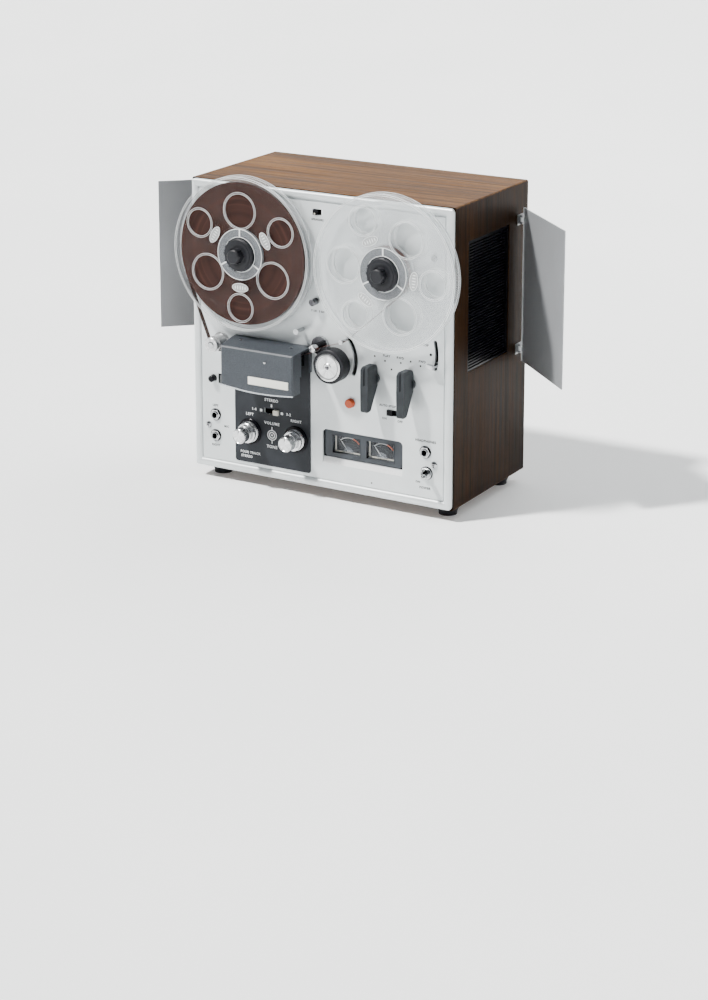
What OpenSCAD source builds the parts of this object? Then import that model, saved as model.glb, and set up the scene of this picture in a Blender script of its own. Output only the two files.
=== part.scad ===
// Two-reel quarter-inch tape deck in a wooden case, with side doors over its loudspeakers.
// +Z is up and the front looks along -Y. The origin is the middle of the footprint, on the ground.
// Every module is drawn in the deck frame: x from the middle, y backwards from the case's front
// face and z up from the case's underside. deck() moves that frame to its place.

/* [Case] */
// Width of the wooden case
case_w = 340; // [330:1:350]
// Height of the wooden case without its feet
case_h = 344; // [336:1:352]
// Depth of the wooden case
case_d = 175; // [165:1:185]
// Thickness of the wooden boards
board_t = 12; // [10:1:14]
// Height of the feet under the case
foot_h = 13; // [10:1:16]
// Height of the feet on the back
back_foot_h = 14; // [10:1:18]

/* [Front panel] */
// Thickness of the front panel
panel_t = 3; // [2:0.5:4]
// Width of the raised rim round the panel
rim_w = 9.5; // [8:0.5:11]
// How far the rim stands in front of the case
rim_top = 5; // [4:0.5:6]

/* [Reels] */
// Distance from the middle to each reel spindle
reel_x = 92.5; // [92:0.5:94]
// Height of the reel spindles
reel_z = 266; // [262:1:268]
// Radius of a reel flange
flange_r = 88.9; // [86:0.1:89]
// Radius of the reel's hub
hub_r = 29.5; // [28:0.5:31]
// Radius of the tape wound on the supply reel
pack_r = 82; // [60:1:84]
// Distance of the reel's back face in front of the case
reel_back = 9; // [8:0.5:10]
// Width of a reel over both flanges
reel_t = 13; // [12:0.5:14]
// Width of the tape
tape_w = 6.35; // [6.2:0.05:6.4]

/* [Doors] */
// Width of a side door
door_w = 126; // [120:1:128]
// Height of a side door
door_h = 179; // [170:1:184]
// Angle of the open doors from closed
door_open = 47; // [20:1:80]

/* [Hidden] */
$fn = 48;
eps = 0.01;

// Places worked out from the driving sizes
// How far the head cover and the back feet reach from the case front
front_reach = 46;
back_reach = case_d - 2 + back_foot_h;
front_y = -(back_reach - front_reach) / 2;
field_y = -panel_t;
hw = case_w / 2;
inner_w = hw - board_t;
top_in = case_h - board_t;
reel_front = reel_back + reel_t;
large_reach = 50;
large_r = 19.4;
small_reach = 62;
small_r = 15.2;
bead_w = 2.1;
tape_y = -(reel_back + reel_t / 2);
hinge_x = hw + 3.2;
hinge_y = case_d - 20;
door_z = 137;
hinge_zs = [door_z + 14, door_z + door_h - 14];

// Deck parts: [x, z]
capstan = [2.2, 169];
capstan_r = 4.2;
roller = [24.3, 151.5];
roller_r = 19.5;
pinch_pivot = [-3.4, 116];
guide = [-128.5, 157];
guide_r = 9;
tape_pin = [-24, 157.6];
arm_pivot = [7.2, 156.1];
arm_reach = 40;
arm_rest = 39;
arm_drop = 60;
stop_pivot = [86, 176.7];
stop_reach = 63.4;
stop_rest = -10.5;
play = [71.5, 141];
wind = [117, 141];
motor = [-75, 110];
motor_r = 36;
pulley_r = 10;
flywheel_r = 42;
record = [40.5, 106.7];
reset = [-143, 109.5];
volume_z = 53;
volume_xs = [-93, -31];
toggle = [138, 40.3];
phones = [136.2, 64.3];
mics = [[-140.8, 65.6], [-140.9, 40.4]];
speed = [-4.2, 219.1];
meter_xs = [34, 78];
needle_z = 45;
needle_rest = 38;
counter_z = 109.5;
counter_y = 14;
chassis_y = [6, 8];

// ---- Shapes that repeat ----

// Moves the deck frame to its place above the origin
module deck() {
    translate([0, front_y, foot_h]) children();
}

// Box between two corners
module block(x0, x1, y0, y1, z0, z1) {
    translate([x0, y0, z0]) cube([x1 - x0, y1 - y0, z1 - z0]);
}

// Round bar along Y from y0 to y1 at p = [x, z]
module rod(p, y0, y1, r) {
    translate([p[0], y0, p[1]]) rotate([-90, 0, 0]) cylinder(r = r, h = y1 - y0);
}

// Turned part on an axis along Y at p, from a profile of [radius, y] points
module turned(p, profile) {
    translate([p[0], 0, p[1]]) rotate([-90, 0, 0]) rotate_extrude() polygon(profile);
}

// Flat part between y0 and y1 from an outline of [x, z] points
module plate(y0, y1, outline) {
    translate([0, y1, 0]) rotate([90, 0, 0]) linear_extrude(y1 - y0) polygon(outline);
}

// Outline of a rectangle with round corners
function rounded(x0, x1, z0, z1, r, steps = 8) = [
    for (c = [[x1 - r, z1 - r, 0], [x0 + r, z1 - r, 90], [x0 + r, z0 + r, 180], [x1 - r, z0 + r, 270]])
        for (i = [0:steps]) [c[0] + r * cos(c[2] + 90 * i / steps), c[1] + r * sin(c[2] + 90 * i / steps)]
];

// Outline of a curved slot with round ends, of width w at radius r about c
function arc_slot(c, r, w, a0, a1, steps = 16) = concat(
    [for (i = [0:steps]) c + (r + w / 2) * unit(a0 + (a1 - a0) * i / steps)],
    [for (i = [1:7]) c + r * unit(a1) + w / 2 * unit(a1 + 180 * i / 8)],
    [for (i = [0:steps]) c + (r - w / 2) * unit(a1 - (a1 - a0) * i / steps)],
    [for (i = [1:7]) c + r * unit(a0) + w / 2 * unit(a0 + 180 + 180 * i / 8)]
);

function unit(a) = [cos(a), sin(a)];

// Direction of a tape that passes circle c1 and then c2, both on its left
function tape_angle(c1, r1, c2, r2) =
    atan2(c2[1] - c1[1], c2[0] - c1[0]) + asin((r1 - r2) / norm(c2 - c1));

// Point where such a tape touches a circle
function touch(c, r, a) = c + r * [sin(a), -cos(a)];

// Straight run of tape between two points
module tape_run(p, q) {
    translate([p[0], tape_y - tape_w / 2, p[1]])
        rotate([0, -atan2(q[1] - p[1], q[0] - p[0]), 0])
            cube([norm(q - p), tape_w, 0.25]);
}

// ---- Case ----

// Four wooden boards, open at the front and the back, with an opening in each side
module cabinet_shell() {
    color("saddlebrown") deck() difference() {
        plate(0, case_d, rounded(-hw, hw, 0, case_h, 2, 3));
        block(-inner_w, inner_w, -1, case_d + 1, board_t, top_in);
        block(-hw - 1, hw + 1, 31, 129, 152, 301);
    }
}

// Rounded bar of the rim, along X from the left corner, in the panel's own frame
module rim_bar(length) {
    crown = rim_w / 2;
    points = [for (i = [0:12]) [crown - crown * cos(15 * i), 2.2 + (rim_top - 2.2) * sin(15 * i)]];
    intersection() {
        rotate([90, 0, 90]) linear_extrude(length)
            polygon(concat([[0, 0]], points, [[rim_w, 0]]));
        linear_extrude(rim_top + 1)
            polygon([[0, 0], [length, 0], [length - rim_w, rim_w], [rim_w, rim_w]]);
    }
}

// One-piece panel with a rounded rim
module front_panel() {
    pw = case_w - 2;
    ph = case_h - 2;
    color("gainsboro") deck() difference() {
        intersection() {
            union() {
                block(-pw / 2 + rim_w + 0.8, pw / 2 - rim_w - 0.8, field_y, 0, rim_w + 1.8, ph + 0.2 - rim_w);
                block(-pw / 2 + 2, pw / 2 - 2, -2, 0, 3, ph - 1);
                translate([-pw / 2, 0, 1]) rotate([90, 0, 0]) rim_bar(pw);
                translate([pw / 2, 0, 1 + ph]) rotate([90, 180, 0]) rim_bar(pw);
                translate([pw / 2, 0, 1]) rotate([90, -90, 0]) rim_bar(ph);
                translate([-pw / 2, 0, 1 + ph]) rotate([90, 90, 0]) rim_bar(ph);
            }
            plate(-rim_top - 1, 1, rounded(-pw / 2, pw / 2, 1, 1 + ph, 5));
        }
        for (s = [-1, 1]) rod([s * reel_x, reel_z], -9, 1, 6);
        rod(capstan, -9, 1, 8.1);
        rod(roller, -9, 1, 10);
        rod(guide, -9, 1, 4);
        rod(play, -9, 1, 4.6);
        rod(wind, -9, 1, 4.6);
        rod(record, -9, 1, 5.6);
        rod(reset, -9, 1, 4.4);
        rod(speed, -9, 1, 3.1);
        rod(toggle, -9, 1, 4.1);
        rod(phones, -9, 1, 4.6);
        for (m = mics) rod(m, -9, 1, 4.6);
        for (x = volume_xs) rod([x, volume_z], -9, 1, 5.1);
        block(-135, -113, -9, 1, 104.5, 114.5);
        block(-74.3, -53.6, -9, 1, 77, 84);
        block(87.5, 102.5, -9, 1, 99.5, 106.5);
        block(-7.8, 4.2, -9, 1, 317.5, 324.5);
        plate(-9, 1, arc_slot(arm_pivot, arm_reach, 5, arm_rest - arm_drop, arm_rest));
        plate(-9, 1, arc_slot(stop_pivot, stop_reach, 4.5, -13.7, 13.7));
        plate(-9, 1, rounded(3.8, 107.4, 38.7, 71.2, 5));
        block(3.8, 107.4, -9, 1, 38.7, 45);
        translate([3.8, 0, 0]) rotate([90, 0, 90]) linear_extrude(103.6)
            polygon([[0.1, 38.9], [0.1, 38.5], [field_y - 0.1, 30.8], [field_y - 1, 30.8],
                [field_y - 1, 38.9]]);
    }
}

// Dark plate behind the two volume knobs and the head cover
module control_plate() {
    color("darkslategray") deck() difference() {
        plate(field_y - 0.8, field_y, rounded(-113.5, -12, 15, 164, 3));
        for (x = volume_xs) rod([x, volume_z], -9, 1, 5.1);
        block(-74.3, -53.6, -9, 1, 77, 84);
    }
}

// Back board with its vent slots and an opening for the sockets
module rear_cover() {
    color("dimgray") deck() difference() {
        block(-inner_w + 0.5, inner_w - 0.5, case_d - 4, case_d - 2, board_t + 0.5, top_in - 0.5);
        block(-70, 70, case_d - 6, case_d, 28, 78);
        for (x = [-100:10:100]) block(x - 2, x + 2, case_d - 6, case_d, 230, 290);
    }
}

// Socket plate with its phono sockets, round sockets, mains inlet and voltage selector
module rear_connectors() {
    color("silver") deck() difference() {
        union() {
            block(-69.5, 69.5, case_d - 4, case_d - 2, 28.5, 77.5);
            for (x = [-56:16:8], z = [42, 64]) rod([x, z], case_d - 14, case_d + 5, 4);
            rod([26, 62], case_d - 16, case_d + 2, 8);
            block(36, 60, case_d - 24, case_d + 2, 34, 50);
            rod([52, 64], case_d - 12, case_d + 1, 9);
        }
        for (x = [-56:16:8], z = [42, 64]) rod([x, z], case_d - 6, case_d + 6, 1.6);
        rod([26, 62], case_d - 3, case_d + 3, 6.5);
        block(39, 57, case_d - 14, case_d + 3, 37, 47);
    }
}

// Four tapered feet under the case and four more on its back, for use lying down
module rubber_feet() {
    color("black") deck() {
        for (x = [-150, 150], y = [26, case_d - 26]) translate([x, y, -foot_h]) {
            cylinder(r = 10.5, h = 2);
            translate([0, 0, 2]) cylinder(r1 = 10, r2 = 15, h = foot_h - 2);
        }
        for (x = [-140, 140], z = [30, case_h - 30])
            rod([x, z], case_d - 2, case_d - 2 + back_foot_h, 9);
    }
}

// Louvred grilles in the openings of the two sides
module side_grilles() {
    color("black") deck() for (s = [-1, 1]) scale([s, 1, 1]) {
        difference() {
            block(hw - 7, hw - 1, 31.1, 128.9, 152.1, 300.9);
            block(hw - 8, hw, 34, 126, 155, 298);
        }
        for (i = [0:42]) block(hw - 6, hw - 2.5, 33, 127, 155.8 + 3.35 * i, 157.4 + 3.35 * i);
    }
}

// Oval loudspeaker outline, as [y, z] points
function oval(y, z, r, straight) = [
    for (e = [1, -1]) for (i = [0:12])
        [y, z + e * straight] + r * unit(90 - 90 * e + 15 * i)
];

// Two oval loudspeakers on the inside of the side boards
module speakers() {
    color("gray") deck() for (s = [-1, 1]) scale([s, 1, 1]) {
        difference() {
            translate([inner_w - 2, 0, 0]) rotate([90, 0, 90]) linear_extrude(1.9)
                polygon(oval(80, 226.5, 56, 22));
            translate([inner_w - 3, 0, 0]) rotate([90, 0, 90]) linear_extrude(4)
                polygon(oval(80, 226.5, 48, 22));
        }
        translate([inner_w - 2, 80, 226.5]) rotate([0, -90, 0]) difference() {
            cylinder(r1 = 55, r2 = 24, h = 26);
            translate([0, 0, -eps]) cylinder(r1 = 53, r2 = 20, h = 23);
        }
        translate([inner_w - 27, 80, 226.5]) rotate([0, -90, 0]) cylinder(r = 26, h = 14);
    }
}

// ---- Doors ----

// Right door drawn closed, its hinge axis on Z at the origin
module door_leaf() {
    block(1, 2.2, -door_w, -3, door_z, door_z + door_h);
    block(0.4, 3, -3.4, -1.6, door_z, door_z + door_h);
    for (z = hinge_zs) difference() {
        union() {
            translate([0, 0, z - 2.5]) cylinder(r = 2.2, h = 5);
            block(0.5, 2.2, -8, 0, z - 2.5, z + 2.5);
        }
        translate([0, 0, z - 3]) cylinder(r = 1.25, h = 6);
    }
}

// Room for the ears of the fixed hinge halves
module ear_room() {
    for (z = hinge_zs) for (e = [-1, 1])
        translate([0, 0, z + e * 4]) cylinder(r = 3.2, h = 3, center = true);
}

// Door on its hinges, opened by door_open
module hung_door() {
    translate([hinge_x, hinge_y, 0]) rotate([0, 0, door_open]) difference() {
        door_leaf();
        ear_room();
    }
}

module right_door() {
    color("gainsboro") deck() hung_door();
}

module left_door() {
    color("gainsboro") deck() mirror([1, 0, 0]) hung_door();
}

// Fixed halves of the hinges: a base, two ears and a pin
module door_hinges() {
    color("white") deck() for (s = [-1, 1]) scale([s, 1, 1]) for (z = hinge_zs) {
        block(hw, hw + 0.8, hinge_y - 7, hinge_y + 9, z - 6, z + 6);
        for (e = [-1, 1]) block(hw, hinge_x + 1, hinge_y - 2, hinge_y + 2, z + e * 4 - 1.2, z + e * 4 + 1.2);
        translate([hinge_x, hinge_y, z - 5.2]) cylinder(r = 1.2, h = 10.4);
    }
}

// ---- Chassis ----

// Steel plate behind the panel with the bearings, pivot studs and posts
module chassis_plate() {
    color("lightsteelblue") deck() difference() {
        union() {
            block(-inner_w + 0.5, inner_w - 0.5, chassis_y[0], chassis_y[1], board_t + 0.5, top_in - 0.5);
            for (s = [-1, 1]) {
                rod([s * reel_x, reel_z], 1, 24, 8);
                block(s * 150 - 6, s * 150 + 6, 0, 24, board_t, board_t + 12);
                block(s * 150 - 6, s * 150 + 6, 0, 24, top_in - 12, top_in);
            }
            rod(play, chassis_y[1], 12, 7);
            rod(wind, chassis_y[1], 12, 7);
            rod(guide, -3, chassis_y[0], 3.9);
            rod(guide, -30.4, -3, 2.5);
            rod(pinch_pivot, 1.5, chassis_y[0], 2.5);
            rod(arm_pivot, chassis_y[1], 14, 2.5);
            rod(stop_pivot, 1, chassis_y[0], 2.5);
            for (a = [110, 190, 270, 330]) rod(motor + 28 * unit(a), chassis_y[1], 95, 3);
            for (s = [-1, 1]) rod(capstan + [56 * s, 0], chassis_y[1], 92, 3);
            block(capstan[0] - 60, capstan[0] + 60, 92, 94, capstan[1] - 9, capstan[1] + 9);
        }
        for (s = [-1, 1]) rod([s * reel_x, reel_z], -9, 30, 4.06);
        rod(play, 0, 20, 4.06);
        rod(wind, 0, 20, 4.06);
        rod(capstan, 0, 20, 8.1);
        rod(capstan, 80, 100, 3.06);
        rod(record, 0, 20, 3.1);
        rod(reset, 0, 20, 3.1);
        rod(speed, 0, 20, 3.1);
        rod(toggle, 0, 20, 7);
        rod(phones, 0, 20, 7.5);
        for (m = mics) rod(m, 0, 20, 7.5);
        for (x = volume_xs) rod([x, volume_z], 0, 20, 12.5);
        block(-137, -110, 0, 12, 95, 124);
        block(-80, -48, 0, 12, 74, 87);
        block(84, 106, 0, 12, 96, 110);
        block(-14, 10, 0, 12, 314, 328);
        block(0, 112, 0, 12, 27, 75);
        plate(0, 12, arc_slot(arm_pivot, arm_reach, 5, arm_rest - arm_drop, arm_rest));
    }
}

// Rubber-mounted motor shell with its stator and two bearing plates
module motor_housing() {
    color("slategray") deck() difference() {
        turned(motor, [[3.06, 95], [motor_r, 95], [motor_r, 150], [3.06, 150], [3.06, 147],
            [motor_r - 2, 147], [motor_r - 2, 137], [22, 137], [22, 108], [motor_r - 2, 108],
            [motor_r - 2, 98], [3.06, 98]]);
        for (a = [45:90:315]) rod(motor + 28 * unit(a), 140, 151, 3);
    }
}

// Rotor with its shaft, stepped pulley and fan
module motor_rotor() {
    color("silver") deck() {
        turned(motor, [[0, 60], [7, 60], [7, 66], [pulley_r, 66], [pulley_r, 80], [3, 80],
            [3, 110], [21.5, 110], [21.5, 135], [3, 135], [3, 152], [24, 152], [24, 156], [0, 156]]);
    }
}

module belt_ring(grow) {
    hull() {
        translate(motor) circle(r = pulley_r + grow, $fn = 64);
        translate(capstan) circle(r = flywheel_r + grow, $fn = 64);
    }
}

// Flat belt from the motor pulley round the flywheel
module drive_belt() {
    color("black") deck() translate([0, 76, 0]) rotate([90, 0, 0]) linear_extrude(6) difference() {
        belt_ring(1);
        belt_ring(0.2);
    }
}

module capstan_bearing() {
    color("dimgray") deck() difference() {
        union() {
            rod(capstan, -3, 40, 8);
            rod(capstan, -7, -3, 10.5);
            for (i = [0:17]) rod(capstan + 10.3 * unit(20 * i), -6.6, -3, 0.7);
        }
        rod(capstan, -9, 41, 3.06);
    }
}

module capstan_shaft() {
    color("silver") deck() turned(capstan, [[0, -24.5], [capstan_r - 0.8, -24.5], [capstan_r, -23.7],
        [capstan_r, -7.4], [3, -7.4], [3, 96], [0, 96]]);
}

module flywheel() {
    color("silver") deck() turned(capstan, [[3, 56], [10, 56], [10, 64], [34, 68], [34, 62], [flywheel_r, 62],
        [flywheel_r, 80], [34, 80], [34, 74], [10, 76], [10, 84], [3, 84]]);
}

// ---- Reels ----

function reel_at(s) = [s * reel_x, reel_z];

// Platter, spindle with three keys, shaft and brake drum
module turntable(s) {
    p = reel_at(s);
    deck() {
        turned(p, [[0, -26], [2.6, -26], [3.7, -24.5], [3.7, -reel_back], [30, -reel_back], [30, -5.5],
            [4, -5], [4, 26], [28, 26], [28, 36], [4, 36], [4, 40], [0, 40]]);
        for (a = [90, 210, 330]) translate([p[0], 0, p[1]]) rotate([0, -a, 0])
            block(0, 4.9, -24, -reel_back, -0.6, 0.6);
    }
}

module supply_turntable() {
    color("silver") turntable(-1);
}

module takeup_turntable() {
    color("silver") turntable(1);
}

// Places of a flange's openings: three large and three small
module flange_openings(s, turn_by) {
    p = reel_at(s);
    for (a = [90, 210, 330]) {
        rod(p + large_reach * unit(a + turn_by), -30, 0, large_r);
        rod(p + small_reach * unit(a + 60 + turn_by), -30, 0, small_r);
    }
}

// Raised beads round the openings of one flange
module flange_beads(s, turn_by, y0, y1) {
    p = reel_at(s);
    for (a = [90, 210, 330]) {
        rod(p + large_reach * unit(a + turn_by), y0, y1, large_r + bead_w);
        rod(p + small_reach * unit(a + 60 + turn_by), y0, y1, small_r + bead_w);
    }
}

// Front flange with its beads and its hub ring
module front_flange(s, turn_by) {
    p = reel_at(s);
    deck() difference() {
        union() {
            turned(p, [[8, -reel_front], [flange_r, -reel_front], [flange_r, -reel_front + 2.2],
                [flange_r - 2.4, -reel_front + 2.2], [flange_r - 2.4, -reel_front + 1.4],
                [8, -reel_front + 1.4]]);
            flange_beads(s, turn_by, -reel_front - 0.5, -reel_front + 1.4);
            rod(p, -reel_front - 0.5, -reel_front + 1.4, hub_r);
        }
        flange_openings(s, turn_by);
        rod(p, -30, 0, 8);
    }
}

module supply_reel_flange() {
    color("whitesmoke") front_flange(-1, 0);
}

module takeup_reel_flange() {
    color("whitesmoke") front_flange(1, -35);
}

// Hub drum with its web and the rear flange
module reel_hub(s, turn_by) {
    p = reel_at(s);
    deck() difference() {
        union() {
            turned(p, [[3.8, -reel_back], [flange_r, -reel_back], [flange_r, -reel_back - 2.2],
                [flange_r - 2.4, -reel_back - 2.2], [flange_r - 2.4, -reel_back - 1.4],
                [hub_r, -reel_back - 1.4], [hub_r, -reel_front + 1.4], [hub_r - 2.5, -reel_front + 1.4],
                [hub_r - 2.5, -reel_back - 3], [9, -reel_back - 3], [9, -reel_front + 1.4],
                [3.8, -reel_front + 1.4]]);
            for (a = [30, 150, 270]) translate([p[0], 0, p[1]]) rotate([0, -a - turn_by, 0])
                block(8, hub_r - 2, -reel_front + 2, -reel_back - 1, -0.9, 0.9);
        }
        difference() {
            flange_openings(s, turn_by);
            rod(p, -30, 0, hub_r + 0.5);
        }
        for (a = [90, 210, 330]) translate([p[0], 0, p[1]]) rotate([0, -a, 0])
            block(0, 5.4, -30, 0, -0.8, 0.8);
    }
}

module supply_reel_hub() {
    color("whitesmoke") reel_hub(-1, 0);
}

module takeup_reel_hub() {
    color("whitesmoke") reel_hub(1, -35);
}

// Wound tape between the flanges
module supply_tape_pack() {
    color("sienna") deck() turned(reel_at(-1), [
        [hub_r + 0.05, tape_y - tape_w / 2], [pack_r, tape_y - tape_w / 2],
        [pack_r, tape_y + tape_w / 2], [hub_r + 0.05, tape_y + tape_w / 2]
    ]);
}

// Rubber cap that locks a reel on its spindle
module reel_cap(s) {
    f = -reel_front;
    deck() turned(reel_at(s), [[0, f - 16], [6.8, f - 16], [8.2, f - 14.6], [8.2, f - 6], [11, f - 5],
        [17.5, f - 5], [19, f - 3.6], [19, f - 0.6], [5.2, f - 0.6], [5.2, f - 4.4], [0, f - 4.4]]);
}

module supply_reel_cap() {
    color("black") reel_cap(-1);
}

module takeup_reel_cap() {
    color("black") reel_cap(1);
}

// ---- Tape path ----

// Rolling guide left of the heads
module guide_roller() {
    color("silver") deck() turned(guide, [
        [2.55, -30], [8, -30], [8.6, -29.4], [8.6, -26.8], [8, -26.2], [5, -26], [5, -24],
        [guide_r, -23.4], [guide_r, -9.4], [10.4, -9], [10.4, -6.6], [5, -6.4], [5, -4.2], [2.55, -4.2]
    ]);
}

// Base plate with the erase head, the record and play head, two tape posts and the sleeve peg
module head_block() {
    color("silver") deck() {
        for (h = [[-85, 150.9], [-50, 153.3]]) intersection() {
            rod([h[0], h[1] + 12], -23, -4.6, 12);
            block(h[0] - 7.5, h[0] + 7.5, -24, -4, h[1], 162.8);
        }
        block(-104, -20, -4.6, -3.8, 141, 163);
        rod(tape_pin, -22, -3.8, 2.5);
        rod([-21.5, 184.6], -17, -3, 2.2);
        rod([-21.5, 184.6], -19, -17, 3.2);
    }
}

// Cover over the heads: a curved lower lip, tape slots in its sides and an open back
module head_cover() {
    lip = concat([[-112, 166], [-112, 118.5]],
        [for (i = [0:12]) [-110 + 100 * i / 12, 118.5 - 3.5 * sin(180 * i / 12) - 1.5 * i / 12]],
        [[-9.5, 117], [-9.5, 166]]);
    inner = concat([[-110, 164], [-110, 120.5]],
        [for (i = [0:12]) [-108.5 + 97 * i / 12, 120.8 - 3.5 * sin(180 * i / 12) - 1.5 * i / 12]],
        [[-11.3, 119.3], [-11.3, 164]]);
    color("slategray") deck() difference() {
        intersection() {
            plate(-46, field_y - 0.8, lip);
            block_plan([[-112, field_y - 0.8], [-110.5, -16], [-105.5, -44], [-103.5, -46], [-11.5, -46],
                [-9.5, -44.6], [-9.5, field_y - 0.8]]);
            side_plan([[field_y - 0.8, 166], [-44.6, 164], [-46, 162.4], [-46, 119], [-45, 100],
                [field_y - 0.8, 100]]);
        }
        intersection() {
            plate(-44, 0, inner);
            block_plan([[-110, 0], [-108.5, -16], [-103.5, -44], [-11.3, -44], [-11.3, 0]]);
        }
        block(-114, -9, -30, 0, 100, 136);
        block(-50, -9, -27, -8, 136, 163);
        block(-114, -100, -27, -8, 136, 153);
    }
}

// Prism along Z from an outline of [x, y] points
module block_plan(outline) {
    translate([0, 0, 90]) linear_extrude(90) polygon(outline);
}

// Prism along X from an outline of [y, z] points
module side_plan(outline) {
    translate([-120, 0, 0]) rotate([90, 0, 90]) linear_extrude(120) polygon(outline);
}

// Arm that carries the pinch roller, behind the panel
module pinch_arm() {
    color("silver") deck() difference() {
        union() {
            rod(pinch_pivot, 2.5, 5, 6);
            rod(roller, 2.5, 5, 6);
            plate(2.5, 5, [pinch_pivot + [-4, 3], pinch_pivot + [4, -3], roller + [4, -3], roller + [-4, 3]]);
            rod(roller, -25.5, 3, 3);
        }
        rod(pinch_pivot, 0, 7, 2.56);
    }
}

module pinch_roller_core() {
    color("silver") deck() turned(roller, [
        [3.06, -8.6], [12, -8.6], [12, -25], [16, -25], [16, -26.6], [14, -27.2],
        [13, -26.8], [5, -26.8], [4, -27.6], [1.6, -27.6], [1.6, -26], [3.06, -26]
    ]);
}

module pinch_roller_tyre() {
    color("black") deck() turned(roller, [
        [12.02, -9], [roller_r - 0.6, -9], [roller_r, -9.6], [roller_r, -24.4],
        [roller_r - 0.6, -25], [16.4, -25], [16.4, -24.9], [12.02, -24.9]
    ]);
}

// Sensing arm that drops when the tape runs out
module shutoff_arm() {
    tip = arm_pivot + arm_reach * unit(arm_rest);
    side = 3 * unit(arm_rest + 90);
    color("silver") deck() difference() {
        union() {
            rod(arm_pivot, 9, 11, 5);
            plate(9, 11, [arm_pivot + side, arm_pivot - side, tip - side, tip + side]);
            rod(tip, -21, 11, 1.5);
            rod(tip, -22, -20.6, 2.6);
        }
        rod(arm_pivot, 8, 12, 2.56);
    }
}

// Runs of tape from the supply reel over the guides to the take-up reel
module tape_path() {
    gap = 0.35;
    pin = arm_pivot + arm_reach * unit(arm_rest);
    stops = [[reel_at(-1), pack_r + gap], [guide, guide_r + gap], [tape_pin, 2.5 + gap],
        [capstan, capstan_r + gap], [pin, 1.5 + gap], [reel_at(1), hub_r + gap]];
    color("sienna") deck() difference() {
        for (i = [0:4]) {
            a = tape_angle(stops[i][0], stops[i][1], stops[i + 1][0], stops[i + 1][1]);
            p = touch(stops[i][0], stops[i][1] + 0.25, a);
            q = touch(stops[i + 1][0], stops[i + 1][1] + 0.25, a);
            tape_run(p, q);
        }
        rod(guide, -30, 0, guide_r + 0.3);
    }
}

// ---- Controls ----

// Lever blade that hangs from its shaft, thick at the top and thin at the foot
module lever(p) {
    deck() {
        difference() {
            intersection() {
                translate([p[0] - 8, 0, 0]) rotate([90, 0, 90]) linear_extrude(16)
                    polygon([[-4.5, p[1] + 12], [-6, p[1] + 16], [-8, p[1] + 17], [-24, p[1] + 17.5],
                        [-26, p[1] + 16.5], [-27, p[1] + 14], [-27.5, p[1] - 32], [-26.5, p[1] - 34.5],
                        [-24.5, p[1] - 35], [-21, p[1] - 35], [-19, p[1] - 34], [-5, p[1] - 8]]);
                plate(-30, 0, [p + [-3.4, 18], p + [3.4, 18], p + [4.6, 13], p + [4.8, -6], p + [4.2, -33.5],
                    p + [3, -35.5], p + [-3, -35.5], p + [-4.2, -33.5], p + [-4.8, -6], p + [-4.6, 13]]);
            }
            translate([p[0], -27.5, p[1] - 4]) linear_extrude(30)
                polygon([[-1.3, -1], [1.3, -1], [0, 2.6]]);
        }
        rod(p, -8, -3.9, 7);
        rod(p, -6, 20, 4);
        rod(p, 12.5, 16, 16);
    }
}

module play_lever() {
    color("slategray") lever(play);
}

module wind_lever() {
    color("slategray") lever(wind);
}

// Chrome stop lever on a long arm behind the panel
module stop_lever() {
    tip = stop_pivot + stop_reach * unit(stop_rest);
    side = 3.5 * unit(stop_rest + 90);
    color("silver") deck() difference() {
        union() {
            rod(stop_pivot, 1, 3, 6);
            plate(1, 3, [stop_pivot + side, stop_pivot - side, tip - side, tip + side]);
            rod(tip, -10, 3, 1.8);
            translate([tip[0], -11, tip[1]]) rotate([0, -stop_rest, 0]) block(-7, 1.4, -2, 2.4, -2.2, 2.2);
        }
        rod(stop_pivot, 0, 4, 2.56);
    }
}

module record_button() {
    color("orangered") deck() turned(record, [[0, -8.2], [4.4, -8.2], [5.2, -7.4], [5.2, 0.2], [6.4, 0.2],
        [6.4, 2], [3, 2], [3, 20], [0, 20]]);
}

module reset_button() {
    color("black") deck() turned(reset, [[0, -9.6], [3.2, -9.6], [3.8, -9], [3.8, 0.2], [5.2, 0.2],
        [5.2, 2], [3, 2], [3, 18], [0, 18]]);
}

// Frame and axle of the counter
module counter_frame() {
    color("black") deck() {
        for (x = [-135, -112.8]) block(x, x + 1.4, 1, 32, 97, 122);
        block(-135, -111.4, 30, 32, 97, 122);
        translate([-135, counter_y, counter_z]) rotate([0, 90, 0]) cylinder(r = 1.5, h = 23.6);
    }
}

module counter_wheel(x) {
    deck() translate([x, counter_y, counter_z]) rotate([0, 90, 0]) difference() {
        cylinder(r = 11, h = 6);
        translate([0, 0, -1]) cylinder(r = 1.55, h = 8);
    }
}

module hundreds_wheel() {
    color("black") counter_wheel(-133.2);
}

module tens_wheel() {
    color("black") counter_wheel(-126.8);
}

module units_wheel() {
    color("black") counter_wheel(-120.4);
}

module track_selector() {
    color("ivory") deck() {
        block(-60.8, -54.2, -6.2, 4, 77.6, 83.4);
        block(-62, -49.5, 1, 4, 76, 85);
    }
}

module shutoff_switch() {
    color("black") deck() {
        block(88, 95, -5.4, 4, 100, 106);
        block(86, 96.5, 1, 4, 98, 108);
    }
}

module deck_switch() {
    color("ivory") deck() {
        block(-7.4, -2.4, -4.6, 4, 318, 324);
        block(-9, -1, 1, 4, 316, 326);
    }
}

module speed_knob() {
    color("silver") deck() {
        turned(speed, [[0, -13], [3.4, -13], [4, -12.4], [4, -3.6], [3, -3.6], [3, 20], [0, 20]]);
        block(speed[0] - 0.6, speed[0] + 0.6, -13.5, -10, speed[1] - 3.2, speed[1] + 3.2);
    }
}

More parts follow.
